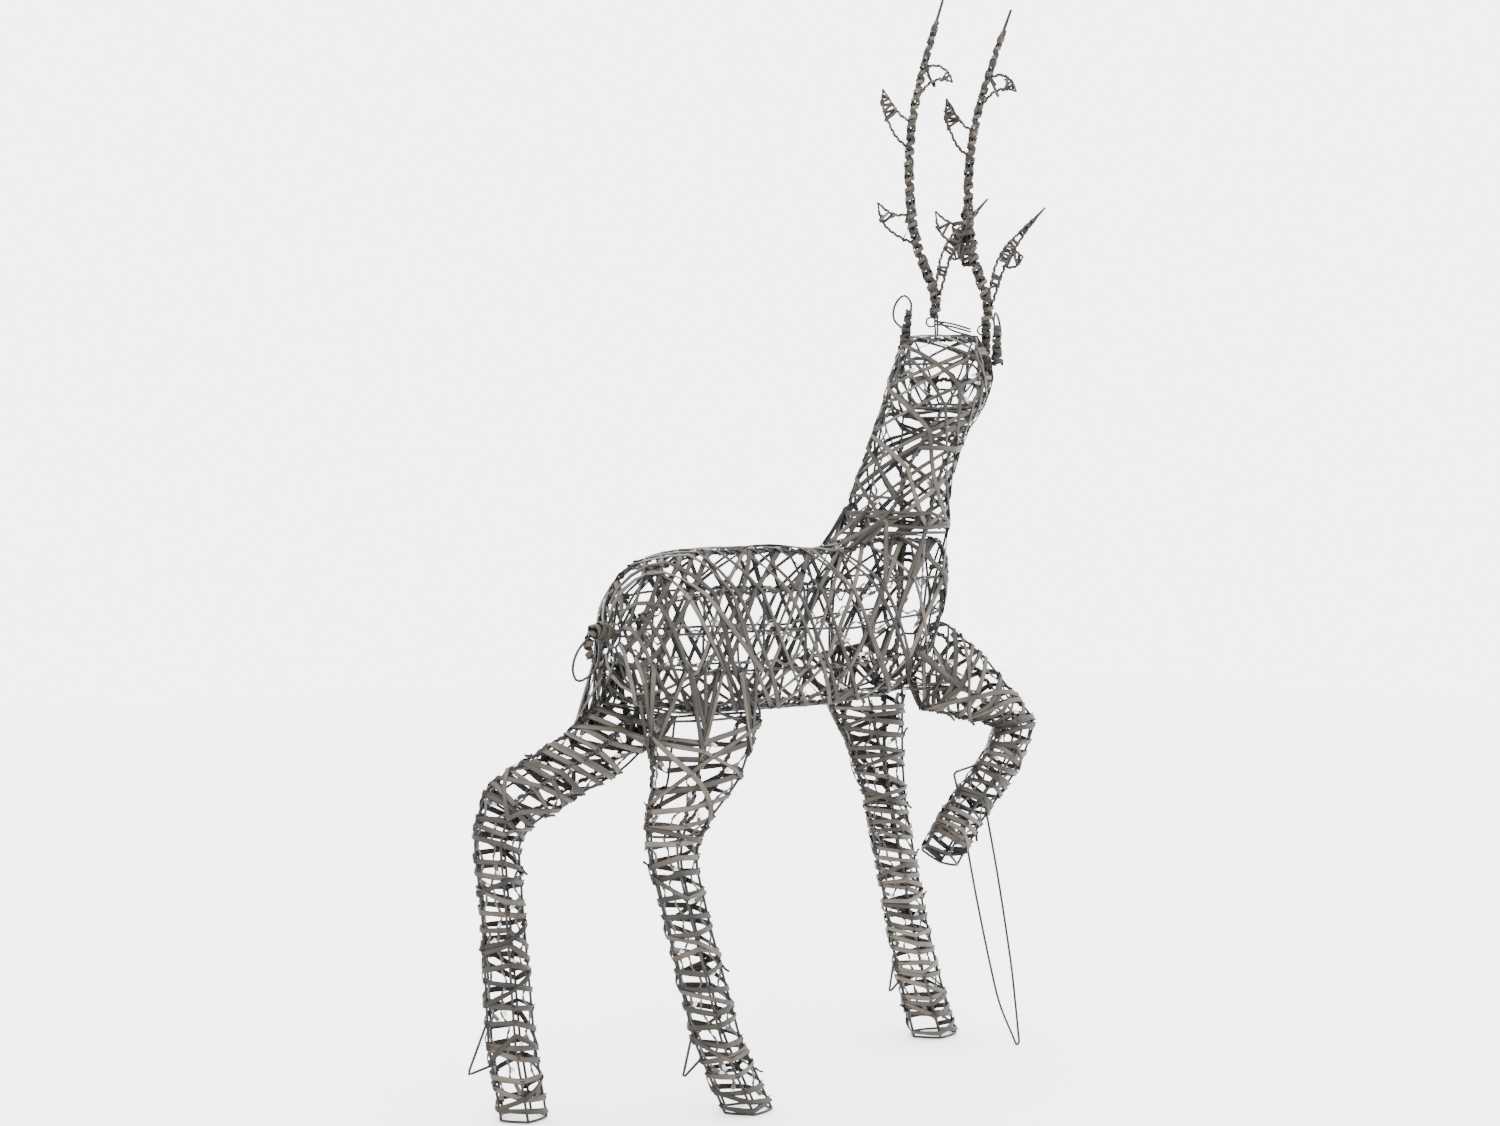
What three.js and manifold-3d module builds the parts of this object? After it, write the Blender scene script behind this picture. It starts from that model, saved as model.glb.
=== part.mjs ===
import * as THREE from 'three';
import { mergeVertices } from 'three/addons/utils/BufferGeometryUtils.js';
import Module from 'manifold-3d';

// Light-up reindeer: welded wire cages wound with flat rattan strip.
// Millimetres, +Z up, +X the way it walks, +Y its left side.

// Driving dimensions
const WIRE = 3.2;              // side of a cage wire
const STRIP_WIDTH = 7;         // flat rattan strip
const STRIP_THICK = 1.2;
const BODY_STEP = 46;          // spacing of the strips along the torso
const NECK_STEP = 40;
const LEG_PITCH = 52;          // one turn of the strip down a leg
const STRIP_END = 6;           // a strip stops this far short of the end of its cage
const STRIP_LIFT = 1.9;        // strips stand this far off the wires that they cross
const GAP = 0.3;               // clear space between pieces that touch
const FLAT = 0.15;             // facets within this of one plane become one
const CROSSING = 4.9;          // half of where two strips cross, along the cage
const BODY_COLUMNS = 8;        // long wires round the torso
const NECK_COLUMNS = 6;        // long wires round the neck and head
const LEG_COLUMNS = 5;         // long wires round a leg
const BODY_SQUARENESS = 2.5;   // 2 is a true ellipse, more is boxier
const HEAD_SQUARENESS = 4;
const HEAD_TURN = 44;          // degrees that the head looks to the left of straight ahead
const ANTLER_TURN = -40;       // degrees from +X to the sideways direction of the antlers
const ANTLER_RADIUS = 7;       // wound beam
const PRONG_RADIUS = 5;
const TIP_RADIUS = 1.6;        // bare wire at a tip
const EAR_ROOT_RADIUS = 5;
const TAIL_RADIUS = 12;
const PROP_RADIUS = 1.6;
const CABLE_RADIUS = 1.2;
const CABLE_DEPTH = 9;         // the cable runs this far under the outside of the wires
const CABLE_STEP = 58;         // spacing of the bends in the cable
const BULB_RADIUS = 3.2;
const BULB_LENGTH = 12;
const BULB_EVERY = 9;          // bends of the cable between bulbs
const JOINT_RADIUS = 4;        // moulded joint where the string branches
const JOINT_LENGTH = 16;

const COLOURS = { wire: 0x77787a, rattan: 0x82786f, cable: 0x4b4a46 };

// Cage sections. x, y, z is the middle of a hoop, long and wide are its half sizes, tilt is how far its
// long axis leans up from +X, and hoop says that a welded ring runs round there. A flat hoop keeps its
// own plane, such as the one that a foot stands on.
const TORSO = [
  { x: -152, z: 590, long: 15, wide: 14, tilt: 82, hoop: true },
  { x: -144, z: 590, long: 58, wide: 48, tilt: 82, hoop: false },
  { x: -122, z: 592, long: 86, wide: 68, tilt: 82, hoop: true },
  { x: -50, z: 592, long: 104, wide: 71, tilt: 88, hoop: false },
  { x: 100, z: 593, long: 106, wide: 71, tilt: 90, hoop: true },
  { x: 185, z: 591, long: 103, wide: 71, tilt: 90, hoop: false },
  { x: 262, z: 602, long: 110, wide: 71, tilt: 88, hoop: true },
  { x: 350, z: 609, long: 108, wide: 66, tilt: 72, hoop: true },
  { x: 360, z: 612, long: 40, wide: 26, tilt: 72, hoop: true },
];
const HIND_LEG_LEFT = [
  { x: -86, y: 38, z: 494, long: 58, wide: 32, tilt: -14, hoop: true },
  { x: -150, y: 48, z: 441, long: 50, wide: 32, tilt: -30, hoop: false },
  { x: -212, y: 56, z: 412, long: 46, wide: 30, tilt: -33, hoop: false },
  { x: -262, y: 62, z: 386, long: 43, wide: 28, tilt: -36, hoop: true },
  { x: -279, y: 66, z: 345, long: 32, wide: 28, tilt: -8, hoop: false },
  { x: -266, y: 71, z: 250, long: 29, wide: 27, tilt: -6, hoop: false },
  { x: -250, y: 77, z: 95, long: 33, wide: 29, tilt: -5, hoop: false },
  { x: -232, y: 78, z: WIRE / 2, long: 32, wide: 30, tilt: 0, hoop: true, flat: true },
];
const HIND_LEG_RIGHT = [
  { x: -34, y: -36, z: 486.6, long: 88, wide: 33, tilt: 0, hoop: true },
  { x: -60, y: -46, z: 408, long: 68, wide: 32, tilt: 1, hoop: false },
  { x: -104, y: -54, z: 352, long: 40, wide: 29, tilt: 0, hoop: true },
  { x: -109, y: -60, z: 318, long: 33, wide: 28, tilt: -4, hoop: false },
  { x: -88, y: -64, z: 238, long: 32, wide: 28, tilt: -6, hoop: false },
  { x: -48, y: -68, z: 98, long: 35, wide: 29, tilt: -5, hoop: false },
  { x: 0, y: -70, z: WIRE / 2, long: 35, wide: 31, tilt: 0, hoop: true, flat: true },
];
const FRONT_LEG_LEFT = [
  { x: 298, y: 37, z: 497, long: 68, wide: 33, tilt: 4, hoop: true },
  { x: 328, y: 46, z: 405, long: 44, wide: 31, tilt: -6, hoop: false },
  { x: 350, y: 52, z: 341, long: 33, wide: 29, tilt: -8, hoop: true },
  { x: 396, y: 62, z: 187, long: 34, wide: 27, tilt: -6, hoop: false },
  { x: 422, y: 66, z: 105, long: 37, wide: 28, tilt: -6, hoop: false },
  { x: 460, y: 68, z: WIRE / 2, long: 38, wide: 31, tilt: 0, hoop: true, flat: true },
];
const FRONT_LEG_RIGHT = [
  { x: 343, y: -44, z: 540, long: 64, wide: 33, tilt: 71, hoop: true },
  { x: 389, y: -57, z: 512, long: 54, wide: 32, tilt: 48, hoop: false },
  { x: 424, y: -66, z: 488, long: 40, wide: 30, tilt: 42, hoop: false },
  { x: 481, y: -70, z: 452, long: 32, wide: 28, tilt: 8, hoop: true },
  { x: 457, y: -70, z: 406, long: 28, wide: 27, tilt: -25, hoop: false },
  { x: 380, y: -70, z: 338, long: 30, wide: 27, tilt: -38, hoop: true },
  { x: 335, y: -70, z: 284, long: 29, wide: 28, tilt: -36, hoop: true },
];
// The neck and head bend in one cage: turn is where a hoop faces, left of straight ahead, and lean is how
// far its axis has come over from straight up.
const NECK_HEAD = [
  { x: 317, y: 0, z: 713, long: 65, wide: 60, turn: 0, lean: 0, hoop: true },
  { x: 342, y: 1, z: 792, long: 56, wide: 54, turn: 14, lean: 16, hoop: false },
  { x: 370, y: 3, z: 852, long: 56, wide: 58, turn: 30, lean: 22, hoop: false },
  { x: 410, y: 10, z: 908, long: 62, wide: 70, turn: HEAD_TURN, lean: 36, hoop: true },
  { x: 440, y: 30, z: 934, long: 58, wide: 69, turn: HEAD_TURN, lean: 62, hoop: true },
  { x: 474, y: 62, z: 940, long: 50, wide: 60, turn: HEAD_TURN, lean: 84, hoop: true },
  { x: 512, y: 98, z: 926, long: 38, wide: 42, turn: HEAD_TURN, lean: 98, hoop: false },
  { x: 546, y: 132, z: 912, long: 27, wide: 29, turn: HEAD_TURN, lean: 104, hoop: true },
  { x: 552, y: 138, z: 910, long: 12, wide: 12, turn: HEAD_TURN, lean: 104, hoop: true },
];

// An antler in its own plane: across and up from its base
const ANTLER_BEAM = [[0, 0], [1, 28], [-9, 57], [-26, 105], [-33, 150], [-36, 215], [-30, 285], [-14, 355],
  [11, 442]];
const ANTLER_PRONGS = [
  [[-24, 104], [-50, 124], [-66, 138], [-80, 160]],
  [[-35, 228], [-52, 260], [-63, 290], [-73, 318]],
  [[-25, 308], [-12, 338], [8, 342], [25, 327]],
  [[1, 30], [13, 74], [35, 122], [74, 165]],
];
// foot is where the bare wire ends that plugs the antler onto the head.
const ANTLERS = {
  antler_left: { base: [447, 53, 1014], lean: 0, foot: [462, 66, 989] },
  antler_right: { base: [512, 16, 1004], lean: 3, foot: [512, 16, 942] },
};

// Ears, as loops from a root: how far out, back and up each point lies. foot is where the root meets
// the head.
const EAR_LOOP = [[0, 0, 8], [4, -16, 24], [2, -17, 44], [-2, -4, 56], [-4, 9, 44], [-1, 9, 24], [0, 4, 8]];
const EARS = {
  ear_left: { root: [385, 50, 984], foot: [0, -3, 0], out: 140, back: 265 },
  ear_right: { root: [497, -19.5, 962], foot: [-2.4, 3.3, -24], out: -40, back: 220 },
};

const TAIL_STUB = [[-155.8, 0, 591], [-170, 0, 597], [-184, 0, 596]];
const TAIL_LOOP = [[-182, 0, 594], [-203, 0, 574], [-211, 0, 553], [-205, 0, 538], [-190, 0, 541],
  [-174, 0, 556], [-170, 0, 594]];

// Loops of bare wire behind the fetlocks
const SPURS = {
  hind_leg_left: [[-285, 77, 122], [-311, 78, 66], [-278, 78, 72]],
  hind_leg_right: [[-84, -68, 106], [-99, -69, 56], [-70, -69, 76]],
  front_leg_left: [[382, 66, 116], [374, 67, 72], [394, 67, 86]],
  front_leg_right: [[408, -70, 400], [362, -70, 392], [370, -70, 367]],
};

// The prop: two long arms that hook onto the raised leg and meet in a round toe on the ground
const PROP_TOE = { x: 506, y: -52, radius: 4 };
const PROP_ARMS = [
  [[397, -54.5, 316], [416, -60, 219], [447, -58, 117], [467, -56, 64]],
  [[435.5, -54.5, 352], [457, -60, 247], [486, -57, 128], [498.5, -55, 65]],
];

// The light string: a main run and its branches. Each is tied up inside long wires of the cages, and a
// stretch names the cage, the wire and where along the cage it is tied; a point is given where it crosses.
const STRING_RUNS = [
  [['hind_leg_left', 2, [0.95, 0.72, 0.5, 0.36, 0.24]], [-96, 42, 480], [-60, 30, 560],
    ['torso', 5.5, [0.34, 0.45, 0.56, 0.66]], [320, 10, 690], ['neck_head', 4, [0.1, 0.3, 0.5, 0.68, 0.9]]],
  [['hind_leg_right', 2, [0.94, 0.66, 0.44, 0.3, 0.16]], [-25, -30, 560], ['torso', 5.5, [0.34]]],
  [['front_leg_left', 2, [0.94, 0.6, 0.34, 0.16]], [290, 12, 510], [255, 4, 560], ['torso', 5.5, [0.56]]],
  [['front_leg_right', 4, [0.95, 0.74, 0.52, 0.36, 0.2]], [352, -46, 550], [330, -32, 580],
    ['torso', 5.5, [0.66]]],
];

const wasm = await Module();
wasm.setup();
const rad = THREE.MathUtils.degToRad;

// A closed solid from an open sheet of quads: the sheet, the same sheet set in by the thickness, and a wall
// along every edge that only one quad has.
function thicken(outer, inner, quads) {
  const count = outer.length;
  const edges = new Set(quads.flatMap((q) => q.map((v, k) => `${v}>${q[(k + 1) % q.length]}`)));
  const index = [];
  for (const [a, b, c, d] of quads) {
    index.push(a, b, c, a, c, d);
    index.push(a + count, c + count, b + count, a + count, d + count, c + count);
  }
  for (const edge of edges) {
    const [a, b] = edge.split('>').map(Number);
    if (!edges.has(`${b}>${a}`)) index.push(a, a + count, b + count, a, b + count, b);
  }
  const numbers = [...outer, ...inner].flatMap((p) => p.toArray());
  const geometry = new THREE.BufferGeometry();
  geometry.setAttribute('position', new THREE.Float32BufferAttribute(numbers, 3));
  geometry.setIndex(index);
  return geometry;
}

// The surface of a cage: where its column wires run, with the directions round, along and out.
function cageSurface(rows, columns, squareness) {
  const bend = (value) => Math.sign(value) * Math.abs(value) ** (2 / squareness);
  const hoops = rows.map((row) => {
    const centre = new THREE.Vector3(row.x, row.y ?? 0, row.z);
    const long = new THREE.Vector3(Math.cos(rad(row.tilt)), 0, Math.sin(rad(row.tilt)));
    const side = new THREE.Vector3(0, -1, 0);
    if (row.lean !== undefined) {
      const ahead = new THREE.Vector3(Math.cos(rad(row.turn)), Math.sin(rad(row.turn)), 0);
      long.copy(ahead).multiplyScalar(Math.cos(rad(row.lean))).setZ(-Math.sin(rad(row.lean)));
      side.set(-ahead.y, ahead.x, 0);
    }
    const at = (angle) => centre.clone()
      .addScaledVector(long, row.long * bend(Math.cos(angle)))
      .addScaledVector(side, row.wide * bend(Math.sin(angle)));
    const points = Array.from({ length: columns }, (_, j) => {
      const turn = (2 * Math.PI) / columns;
      const [before, point, after] = [j - 0.5, j + 0.5, j + 1.5].map((k) => at(k * turn));
      const round = after.sub(point).normalize().add(point.clone().sub(before).normalize()).normalize();
      return { point, round, axis: long.clone().cross(side) };
    });
    return { points, hoop: row.hoop, flat: row.flat };
  });
  const reach = [0];
  hoops.forEach((hoop, i) => {
    const last = hoops[Math.max(i - 1, 0)];
    const next = hoops[Math.min(i + 1, hoops.length - 1)];
    hoop.points.forEach((p, j) => {
      const before = p.point.clone().sub(last.points[j].point).normalize();
      const after = next.points[j].point.clone().sub(p.point).normalize();
      if (!hoop.flat) p.axis = before.add(after).normalize();
      p.out = p.round.clone().cross(p.axis).normalize();
      p.axis = p.out.clone().cross(p.round);
    });
    const span = hoop.points.reduce((sum, p, j) => sum + p.point.distanceTo(last.points[j].point), 0);
    if (i > 0) reach.push(reach[i - 1] + span / columns);
  });
  // A place on a column wire, by its distance along the cage
  const along = (column, distance) => {
    const j = ((column % columns) + columns) % columns;
    const i = Math.min(reach.findLastIndex((d) => d <= distance), hoops.length - 2);
    const f = (distance - reach[i]) / (reach[i + 1] - reach[i]);
    const [a, b] = [hoops[i].points[j], hoops[i + 1].points[j]];
    const mix = (key) => a[key].clone().lerp(b[key], f);
    const place = { point: mix('point'), round: mix('round').normalize(), out: mix('out').normalize() };
    return { ...place, axis: place.out.clone().cross(place.round) };
  };
  return { hoops, columns, reach, along, length: reach.at(-1) };
}

// The welded cage: a square wire down every column and round every hoop, or the same with thicker wires.
function cage({ hoops, columns }, extra = 0) {
  const half = WIRE / 2 + extra;
  const outer = [];
  const inner = [];
  const quads = [];
  const corner = (i, j, k) => 4 * (i * columns + (j % columns)) + k;
  hoops.forEach((hoop, i) => hoop.points.forEach((p, j) => {
    for (const [r, a] of [[-1, -1], [1, -1], [1, 1], [-1, 1]]) {
      const at = p.point.clone().addScaledVector(p.round, r * half).addScaledVector(p.axis, a * half);
      outer.push(at.clone().addScaledVector(p.out, extra));
      inner.push(at.addScaledVector(p.out, -WIRE - extra));
    }
    const [a, b, c, d] = [0, 1, 2, 3].map((k) => corner(i, j, k));
    quads.push([a, b, c, d]);
    if (hoop.hoop) quads.push([b, corner(i, j + 1, 0), corner(i, j + 1, 3), c]);
    if (i + 1 < hoops.length) quads.push([d, c, corner(i + 1, j, 1), corner(i + 1, j, 0)]);
  }));
  return thicken(outer, inner, quads);
}

const liftOver = (columns) => STRIP_LIFT + (WIRE / 2) * Math.tan(Math.PI / columns);

// Distances along a cage, evenly spaced between its hoops, so that a strip bends only on a wire or a hoop
function levelsAlong(surface, step) {
  const start = STRIP_END;
  const end = surface.length - STRIP_END;
  const stops = [start, ...surface.reach.filter((d) => d > start + step / 2 && d < end - step / 2), end];
  const levels = stops.slice(1).flatMap((stop, i) => {
    const parts = Math.max(1, Math.round((stop - stops[i]) / step));
    return Array.from({ length: parts }, (_, k) => stops[i] + ((stop - stops[i]) * k) / parts);
  });
  return [...levels, end];
}

// One strip wound round and round a cage, bending at each wire
function winding(surface, pitch, hand) {
  const outer = [];
  const inner = [];
  const lift = liftOver(surface.columns);
  levelsAlong(surface, pitch / surface.columns).forEach((distance, k) => {
    const p = surface.along(k * hand, distance);
    for (const a of [-1, 1]) {
      const at = p.point.clone().addScaledVector(p.axis, (a * STRIP_WIDTH) / 2).addScaledVector(p.out, lift);
      inner.push(at);
      outer.push(at.clone().addScaledVector(p.out, STRIP_THICK));
    }
  });
  const quads = Array.from({ length: outer.length / 2 - 1 }, (_, k) => {
    const n = 2 * k;
    return hand > 0 ? [n, n + 2, n + 3, n + 1] : [n, n + 1, n + 3, n + 2];
  });
  return thicken(outer, inner, quads);
}

// Strips that run both ways round a cage and cross on its wires
function crossWinding(surface, step) {
  const outer = [];
  const inner = [];
  const quads = [];
  const lift = liftOver(surface.columns);
  const nodes = new Map();
  levelsAlong(surface, step).forEach((distance, i) => {
    for (let j = i % 2; j < surface.columns; j += 2) {
      const p = surface.along(j, distance);
      nodes.set(`${i},${j}`, outer.length);
      for (const [r, a] of [[0, 1], [-0.6, 0], [0, -1], [0.6, 0]]) {
        const at = p.point.clone().addScaledVector(p.out, lift)
          .addScaledVector(p.round, r * CROSSING).addScaledVector(p.axis, a * CROSSING);
        inner.push(at);
        outer.push(at.clone().addScaledVector(p.out, STRIP_THICK));
      }
    }
  });
  const nodeAt = (i, j) => nodes.get(`${i},${(j + surface.columns) % surface.columns}`);
  for (const [key, n] of nodes) {
    const [i, j] = key.split(',').map(Number);
    quads.push([n, n + 1, n + 2, n + 3]);
    const right = nodeAt(i + 1, j + 1);
    const left = nodeAt(i + 1, j - 1);
    if (right !== undefined) quads.push([n, n + 3, right + 2, right + 1]);
    if (left !== undefined) quads.push([n + 1, n, left + 3, left + 2]);
  }
  return thicken(outer, inner, quads);
}

// A round wire or wound rod along a smooth curve, with a thinner end if it has a tip
function rod(points, radius, sides, steps, tipRadius = radius) {
  const path = new THREE.CatmullRomCurve3(points.map((p) => (p.isVector3 ? p : new THREE.Vector3(...p))));
  const shape = new THREE.Shape(Array.from({ length: sides }, (_, k) => {
    const angle = (k / sides) * 2 * Math.PI;
    return new THREE.Vector2(radius * Math.cos(angle), radius * Math.sin(angle));
  }));
  const geometry = new THREE.ExtrudeGeometry(shape, { steps, extrudePath: path });
  const tip = path.getPoint(1);
  const position = geometry.getAttribute('position');
  const vertex = new THREE.Vector3();
  for (let v = 0; v < position.count && tipRadius !== radius; v += 1) {
    vertex.fromBufferAttribute(position, v).sub(tip);
    if (vertex.length() < radius * 1.01) vertex.setLength(tipRadius);
    vertex.add(tip);
    position.setXYZ(v, vertex.x, vertex.y, vertex.z);
  }
  return geometry;
}

function toSolid(geometry) {
  const bare = geometry.clone();
  for (const name of ['normal', 'uv']) bare.deleteAttribute(name);
  const merged = mergeVertices(bare, 1e-4);
  return new wasm.Manifold(new wasm.Mesh({
    numProp: 3,
    vertProperties: new Float32Array(merged.getAttribute('position').array),
    triVerts: new Uint32Array(merged.getIndex().array),
  }));
}

function fromSolid(solid) {
  const mesh = solid.getMesh();
  const geometry = new THREE.BufferGeometry();
  geometry.setAttribute('position', new THREE.BufferAttribute(mesh.vertProperties, 3));
  geometry.setIndex(new THREE.BufferAttribute(mesh.triVerts, 1));
  return geometry;
}

// Strips with notches where they would touch the wires, without the crumbs that the notches leave
function clearOf(strips, wires) {
  const notched = wires.reduce((whole, wire) => whole.subtract(toSolid(wire)), toSolid(strips));
  return fromSolid(notched.decompose().sort((a, b) => b.volume() - a.volume())[0]);
}

function fuse(geometries) {
  const whole = geometries.map(toSolid).reduce((sum, next) => sum.add(next));
  return fromSolid(whole.simplify(FLAT));
}

const reindeer = new THREE.Group();

function addPiece(name, geometry, colour, roughness, metalness) {
  geometry.computeVertexNormals();
  const material = new THREE.MeshStandardMaterial({ color: colour, roughness, metalness });
  const mesh = new THREE.Mesh(geometry, material);
  mesh.name = name;
  reindeer.add(mesh);
}
const addWire = (name, geometry) => addPiece(name, geometry, COLOURS.wire, 0.45, 0.8);
const addRattan = (name, geometry) => addPiece(name, geometry, COLOURS.rattan, 0.75, 0);

const torso = cageSurface(TORSO, BODY_COLUMNS, BODY_SQUARENESS);
addWire('torso_frame', cage(torso));
addRattan('torso_wicker', clearOf(crossWinding(torso, BODY_STEP), [cage(torso, GAP)]));

const neck = cageSurface(NECK_HEAD, NECK_COLUMNS, HEAD_SQUARENESS);
addWire('neck_head_frame', cage(neck));
const plugs = Object.values(ANTLERS).map(({ base, foot }) => rod([base, foot], TIP_RADIUS + GAP, 4, 1));
addRattan('neck_head_wicker', clearOf(crossWinding(neck, NECK_STEP), [cage(neck, GAP), ...plugs]));

const legs = {
  hind_leg_left: { rows: HIND_LEG_LEFT, hand: 1 },
  hind_leg_right: { rows: HIND_LEG_RIGHT, hand: -1 },
  front_leg_left: { rows: FRONT_LEG_LEFT, hand: 1 },
  front_leg_right: { rows: FRONT_LEG_RIGHT, hand: -1 },
};
const surfaces = { torso, neck_head: neck };
for (const [name, { rows, hand }] of Object.entries(legs)) {
  const leg = cageSurface(rows, LEG_COLUMNS, 2);
  surfaces[name] = leg;
  addWire(`${name}_frame`, fuse([cage(leg), rod(SPURS[name], WIRE / 2, 4, 4)]));
  const strip = winding(leg, LEG_PITCH, hand);
  addRattan(`${name}_wicker`, clearOf(strip, [cage(leg, GAP), rod(SPURS[name], WIRE / 2 + GAP, 4, 4)]));
}

// Antlers, each in an upright plane that faces across the head
for (const [name, { base, lean, foot }] of Object.entries(ANTLERS)) {
  const across = new THREE.Vector3(Math.cos(rad(ANTLER_TURN)), Math.sin(rad(ANTLER_TURN)), 0);
  const up = new THREE.Vector3(0, 0, Math.cos(rad(lean))).addScaledVector(across, Math.sin(rad(lean)));
  const place = (points) => points.map(([u, v]) => new THREE.Vector3(...base)
    .addScaledVector(across, u).addScaledVector(up, v));
  const beam = rod(place(ANTLER_BEAM), ANTLER_RADIUS, 6, 9, TIP_RADIUS);
  const prongs = ANTLER_PRONGS.map((points) => rod(place(points), PRONG_RADIUS, 4, 3, TIP_RADIUS));
  addRattan(name, fuse([beam, ...prongs, rod([base, foot], TIP_RADIUS, 4, 1)]));
}

// Ears: a wire loop on a wound root
for (const [name, { root, foot, out, back }] of Object.entries(EARS)) {
  const away = new THREE.Vector3(Math.cos(rad(out)), Math.sin(rad(out)), 0);
  const rear = new THREE.Vector3(Math.cos(rad(back)), Math.sin(rad(back)), 0);
  const place = ([o, b, u]) => new THREE.Vector3(...root).addScaledVector(away, o).addScaledVector(rear, b)
    .add(new THREE.Vector3(0, 0, u));
  const loop = rod(EAR_LOOP.map(place), WIRE / 2, 4, 12);
  const stub = rod([place(foot), place([0, 8, 24])], EAR_ROOT_RADIUS, 5, 1);
  addWire(name, fuse([loop, stub]));
}

// Tail: a wound stub and an open loop of wire
addRattan('tail', fuse([rod(TAIL_STUB, TAIL_RADIUS, 6, 2), rod(TAIL_LOOP, WIRE / 2, 4, 12)]));

// The raised front leg stands on a long narrow U of wire.
const { x: toeX, y: toeY, radius: toeRadius } = PROP_TOE;
const toe = [180, 225, 270, 315, 360].map((degrees) => [
  toeX + toeRadius * Math.cos(rad(degrees)),
  toeY,
  PROP_RADIUS + toeRadius * (1 + Math.sin(rad(degrees))),
]);
const propArms = PROP_ARMS.map((points, i) => rod([...points, toe[4 * i]], PROP_RADIUS, 4, 4));
addWire('prop_wire', fuse([rod(toe, PROP_RADIUS, 4, 6), ...propArms]));

// A place inside a cage, this deep under a long wire or under the space between two
function inside(surface, column, share, depth) {
  const [a, b] = [Math.floor(column), Math.ceil(column)].map((j) => surface.along(j, share * surface.length));
  return a.point.lerp(b.point, column % 1).addScaledVector(a.out.lerp(b.out, column % 1).normalize(), -depth);
}

// The light string, with its bulbs standing off the cable into the cage
const strings = STRING_RUNS.map((run) => {
  const [path, tips] = [0, BULB_LENGTH].map((stand) => new THREE.CatmullRomCurve3(run.flatMap((stretch) => {
    if (typeof stretch[0] === 'number') return [new THREE.Vector3(...stretch).add(new THREE.Vector3(0, stand, 0))];
    const [name, column, shares] = stretch;
    return shares.map((share) => inside(surfaces[name], column, share, CABLE_DEPTH + stand));
  })));
  const steps = Math.round(path.getLength() / CABLE_STEP);
  const bends = path.getSpacedPoints(steps);
  const ends = tips.getSpacedPoints(steps);
  const lamps = bends.flatMap((at, k) => (k % BULB_EVERY === 1 ? [rod([at, ends[k]], BULB_RADIUS, 4, 1)] : []));
  const joint = [-0.5, 0.5].map((f) => bends.at(-1).clone().add(new THREE.Vector3(0, 0, f * JOINT_LENGTH)));
  return [rod(path.points, CABLE_RADIUS, 3, steps), rod(joint, JOINT_RADIUS, 4, 1), ...lamps];
});
addPiece('light_string', fuse(strings.flat()), COLOURS.cable, 0.5, 0);

// The origin is in the middle of the ground that the figure covers.
const box = new THREE.Box3().setFromObject(reindeer);
const middle = box.getCenter(new THREE.Vector3());
reindeer.position.set(-middle.x, -middle.y, -box.min.z);

export default reindeer;
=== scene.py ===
import math

import bpy
import numpy as np
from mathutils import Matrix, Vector


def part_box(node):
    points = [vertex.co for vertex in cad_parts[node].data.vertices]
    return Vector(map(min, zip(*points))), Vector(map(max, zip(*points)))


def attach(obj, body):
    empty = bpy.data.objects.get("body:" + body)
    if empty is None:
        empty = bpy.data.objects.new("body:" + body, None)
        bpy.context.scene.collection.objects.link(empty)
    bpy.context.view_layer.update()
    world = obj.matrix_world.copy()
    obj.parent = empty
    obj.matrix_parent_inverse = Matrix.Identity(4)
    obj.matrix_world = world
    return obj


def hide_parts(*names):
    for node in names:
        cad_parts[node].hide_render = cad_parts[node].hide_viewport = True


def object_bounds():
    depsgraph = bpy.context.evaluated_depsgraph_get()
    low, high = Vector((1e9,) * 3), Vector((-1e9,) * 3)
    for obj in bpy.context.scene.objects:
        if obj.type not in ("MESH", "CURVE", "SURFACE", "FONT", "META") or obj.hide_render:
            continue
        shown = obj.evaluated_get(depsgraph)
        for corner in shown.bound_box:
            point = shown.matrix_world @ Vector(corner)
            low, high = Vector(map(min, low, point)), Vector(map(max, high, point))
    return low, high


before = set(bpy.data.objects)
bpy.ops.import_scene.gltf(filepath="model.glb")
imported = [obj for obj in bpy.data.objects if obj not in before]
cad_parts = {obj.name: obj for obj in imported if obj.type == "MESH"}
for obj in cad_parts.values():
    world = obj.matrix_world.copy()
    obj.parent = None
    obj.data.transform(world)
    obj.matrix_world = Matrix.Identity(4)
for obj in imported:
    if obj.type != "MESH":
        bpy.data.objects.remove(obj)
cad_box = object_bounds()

scene = bpy.context.scene

# Torso frame. Eight steel wires of 3.4 mm, and one more on each flank, run from rump to breast and are
# spot-welded to hoops. Lengths are in mm from a point on the ground 70 to the left of the right hind foot;
# the prop's round toe, 506 ahead of that point and 52 to its right, says where it lies in the frame.
WIRE_RADIUS = 0.0017
MM = 0.001
TOE = {"ahead": 506, "left": -52, "bend": 4, "reach": 0.0016}
_, prop_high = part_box("prop_wire")
SET_OUT = np.array((
    prop_high.x - (TOE["ahead"] + TOE["bend"]) * MM - TOE["reach"],
    prop_high.y - TOE["left"] * MM - TOE["reach"],
    0.0,
))
BEND_SPREAD = 0.011
SKIN_STEP = 0.004
SECTION_STEPS = 30
WIRE_STEP = 0.008
TAUTNESS = 0.55


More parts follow.
